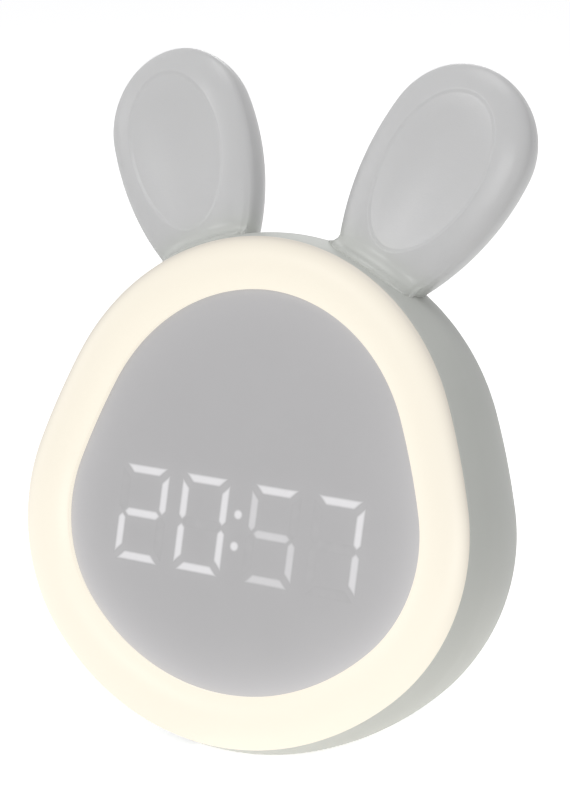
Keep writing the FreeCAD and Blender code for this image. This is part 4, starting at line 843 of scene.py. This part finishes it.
finishes = {
    "rear_cover": coverPlastic, "light_tray": whiteInner, "digit_frame": whiteInner,
    "ring_led_board": board, "display_board": board, "main_board": board,
    "ring_leds": lampPlastic, "segment_leds": lampPlastic, "clock_chip": blackPlastic,
    "backup_cell_clip": steel, "backup_cell": steel, "flex_connectors": ivoryPlastic,
    "flex_cable": filmPlastic, "tact_switches": blackPlastic, "slide_switch_case": blackPlastic,
    "charging_socket": steel,
    "battery_cell": sleevePlastic, "battery_cradle": blackPlastic, "battery_contacts": steel,
    "battery_strap": steel, "speaker_driver": darkMetal, "speaker_gasket": blackRubber,
    "speaker_clamp": blackPlastic, "ballast_plate": steel, "foot_pads": footRubber,
    "cover_screws": steel, "tray_screws": steel, "board_screws": steel, "cradle_screws": steel,
    "ear_washers": steel, "ear_screws": steel,
}


def dress(piece, material):
    piece.data.materials.clear()
    piece.data.materials.append(material)


for nodeName, material in finishes.items():
    dress(nodes[nodeName], material)

# piece, material, body, the node it stands for, and its slot name
newPieces = [(piece, shellPlastic, "clock", "main_shell", "housing_plastic") for piece in [shell] + stubs]
newPieces += [
    (ears[0], earPlastic, "clock", "left_ear", "ear_plastic"),
    (ears[1], earPlastic, "clock", "right_ear", "ear_plastic"),
    (glowRing, glowMaterial, "clock", "light_ring", "ring_diffuser"),
    (window, windowMaterial, "clock", "display_window", "window_plastic"),
    (litPiece, litMaterial, "clock", "segments_lit", "lit_bars"),
    (darkPiece, darkMaterial, "clock", "segments_unlit", "unlit_bars"),
    (colonPiece, litMaterial, "clock", "colon_dots", "lit_bars"),
    (knobPiece, buttonPlastic, "alarm_switch", "alarm_switch_knob", "button_plastic"),
]
for buttonName, pieces in buttonPieces.items():
    for piece in pieces:
        newPieces.append((piece, buttonPlastic, buttonName, buttonName, "button_plastic"))
for piece, material, body, replaced, slotName in newPieces:
    dress(piece, material)
    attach(piece, body)
    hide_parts(replaced)
print("materials done")


# Floor, world and lamps
studio = {"floor": (0.86, 0.86, 0.86), "floorGlow": (0.66, 0.66, 0.66), "seenSky": (1.0, 1.0, 1.0),
          "lightSky": (0.37, 0.37, 0.375)}
lamps = {
    "front": {"place": (0.42, -1.13, 0.35), "target": (0, 0, 0.05), "size": 0.5, "power": 3.2},
    "front_left": {"place": (-0.54, -1.23, 0.96), "target": (0, 0, 0.08), "size": 0.34, "power": 2.6},
    "left": {"place": (-1.174, -0.388, 0.4), "target": (0, 0, 0.05), "size": 0.6, "power": 1.1},
    "top": {"place": (0.053, -0.085, 1.4), "target": (0, 0, 0.05), "size": 0.8, "power": 4.2},
    "back": {"place": (-0.5, 1.2, 0.8), "target": (0, 0, 0.06), "size": 0.6, "power": 2.0},
    "table_spill": {"place": (0.091, -0.013, 0.0006), "target": (0.091, -0.013, 1.0), "size": 0.2,
                    "power": 0.036, "colour": (1.0, 0.96, 0.88)},  # warm light off the table top
}


def seenDirectly(tree):
    # 1 for what the camera, a reflection or glass shows, and 0 for the light that falls on the clock
    ray = addNode(tree, "ShaderNodeLightPath")
    return (ray("Is Camera Ray") + ray("Is Glossy Ray") + ray("Is Transmission Ray")).clamped()


def makeFloor():
    floor = meshPiece("floor", [(-3, -3, 0), (3, -3, 0), (3, 3, 0), (-3, 3, 0)], [(0, 1, 2, 3)], False)
    material, tree = newMaterial("floor_white")
    surface(tree, {"Base Color": studio["floor"], "Roughness": 0.9, "Specular IOR Level": 0.0,
                   "Emission Color": seenDirectly(tree).mixed((0.0, 0.0, 0.0), studio["floorGlow"]),
                   "Emission Strength": 1.0})
    dress(floor, material)


def makeWorld():
    world = bpy.data.worlds.new("studio")
    world.use_nodes = True
    tree = world.node_tree
    tree.nodes.clear()
    level = seenDirectly(tree).mixed(studio["lightSky"], studio["seenSky"])
    background = addNode(tree, "ShaderNodeBackground", None, {"Color": level, "Strength": 1.0})
    addNode(tree, "ShaderNodeOutputWorld", None, {"Surface": background(0)})
    scene.world = world


def areaLamp(name, place, target, size, power, colour=(1.0, 1.0, 1.0)):
    data = bpy.data.lights.new(name, "AREA")
    data.shape = "DISK"
    data.size = size
    data.energy = power
    data.color = colour
    lamp = bpy.data.objects.new(name, data)
    lamp.location = place
    lamp.rotation_mode = "XYZ"
    lamp.rotation_euler = (Vector(target) - Vector(place)).to_track_quat("-Z", "Y").to_euler("XYZ")
    lamp.visible_camera = False
    scene.collection.objects.link(lamp)


makeFloor()
makeWorld()
for lampName, settings in lamps.items():
    areaLamp(lampName, **settings)
scene.view_settings.view_transform = "Standard"
print("stage done")
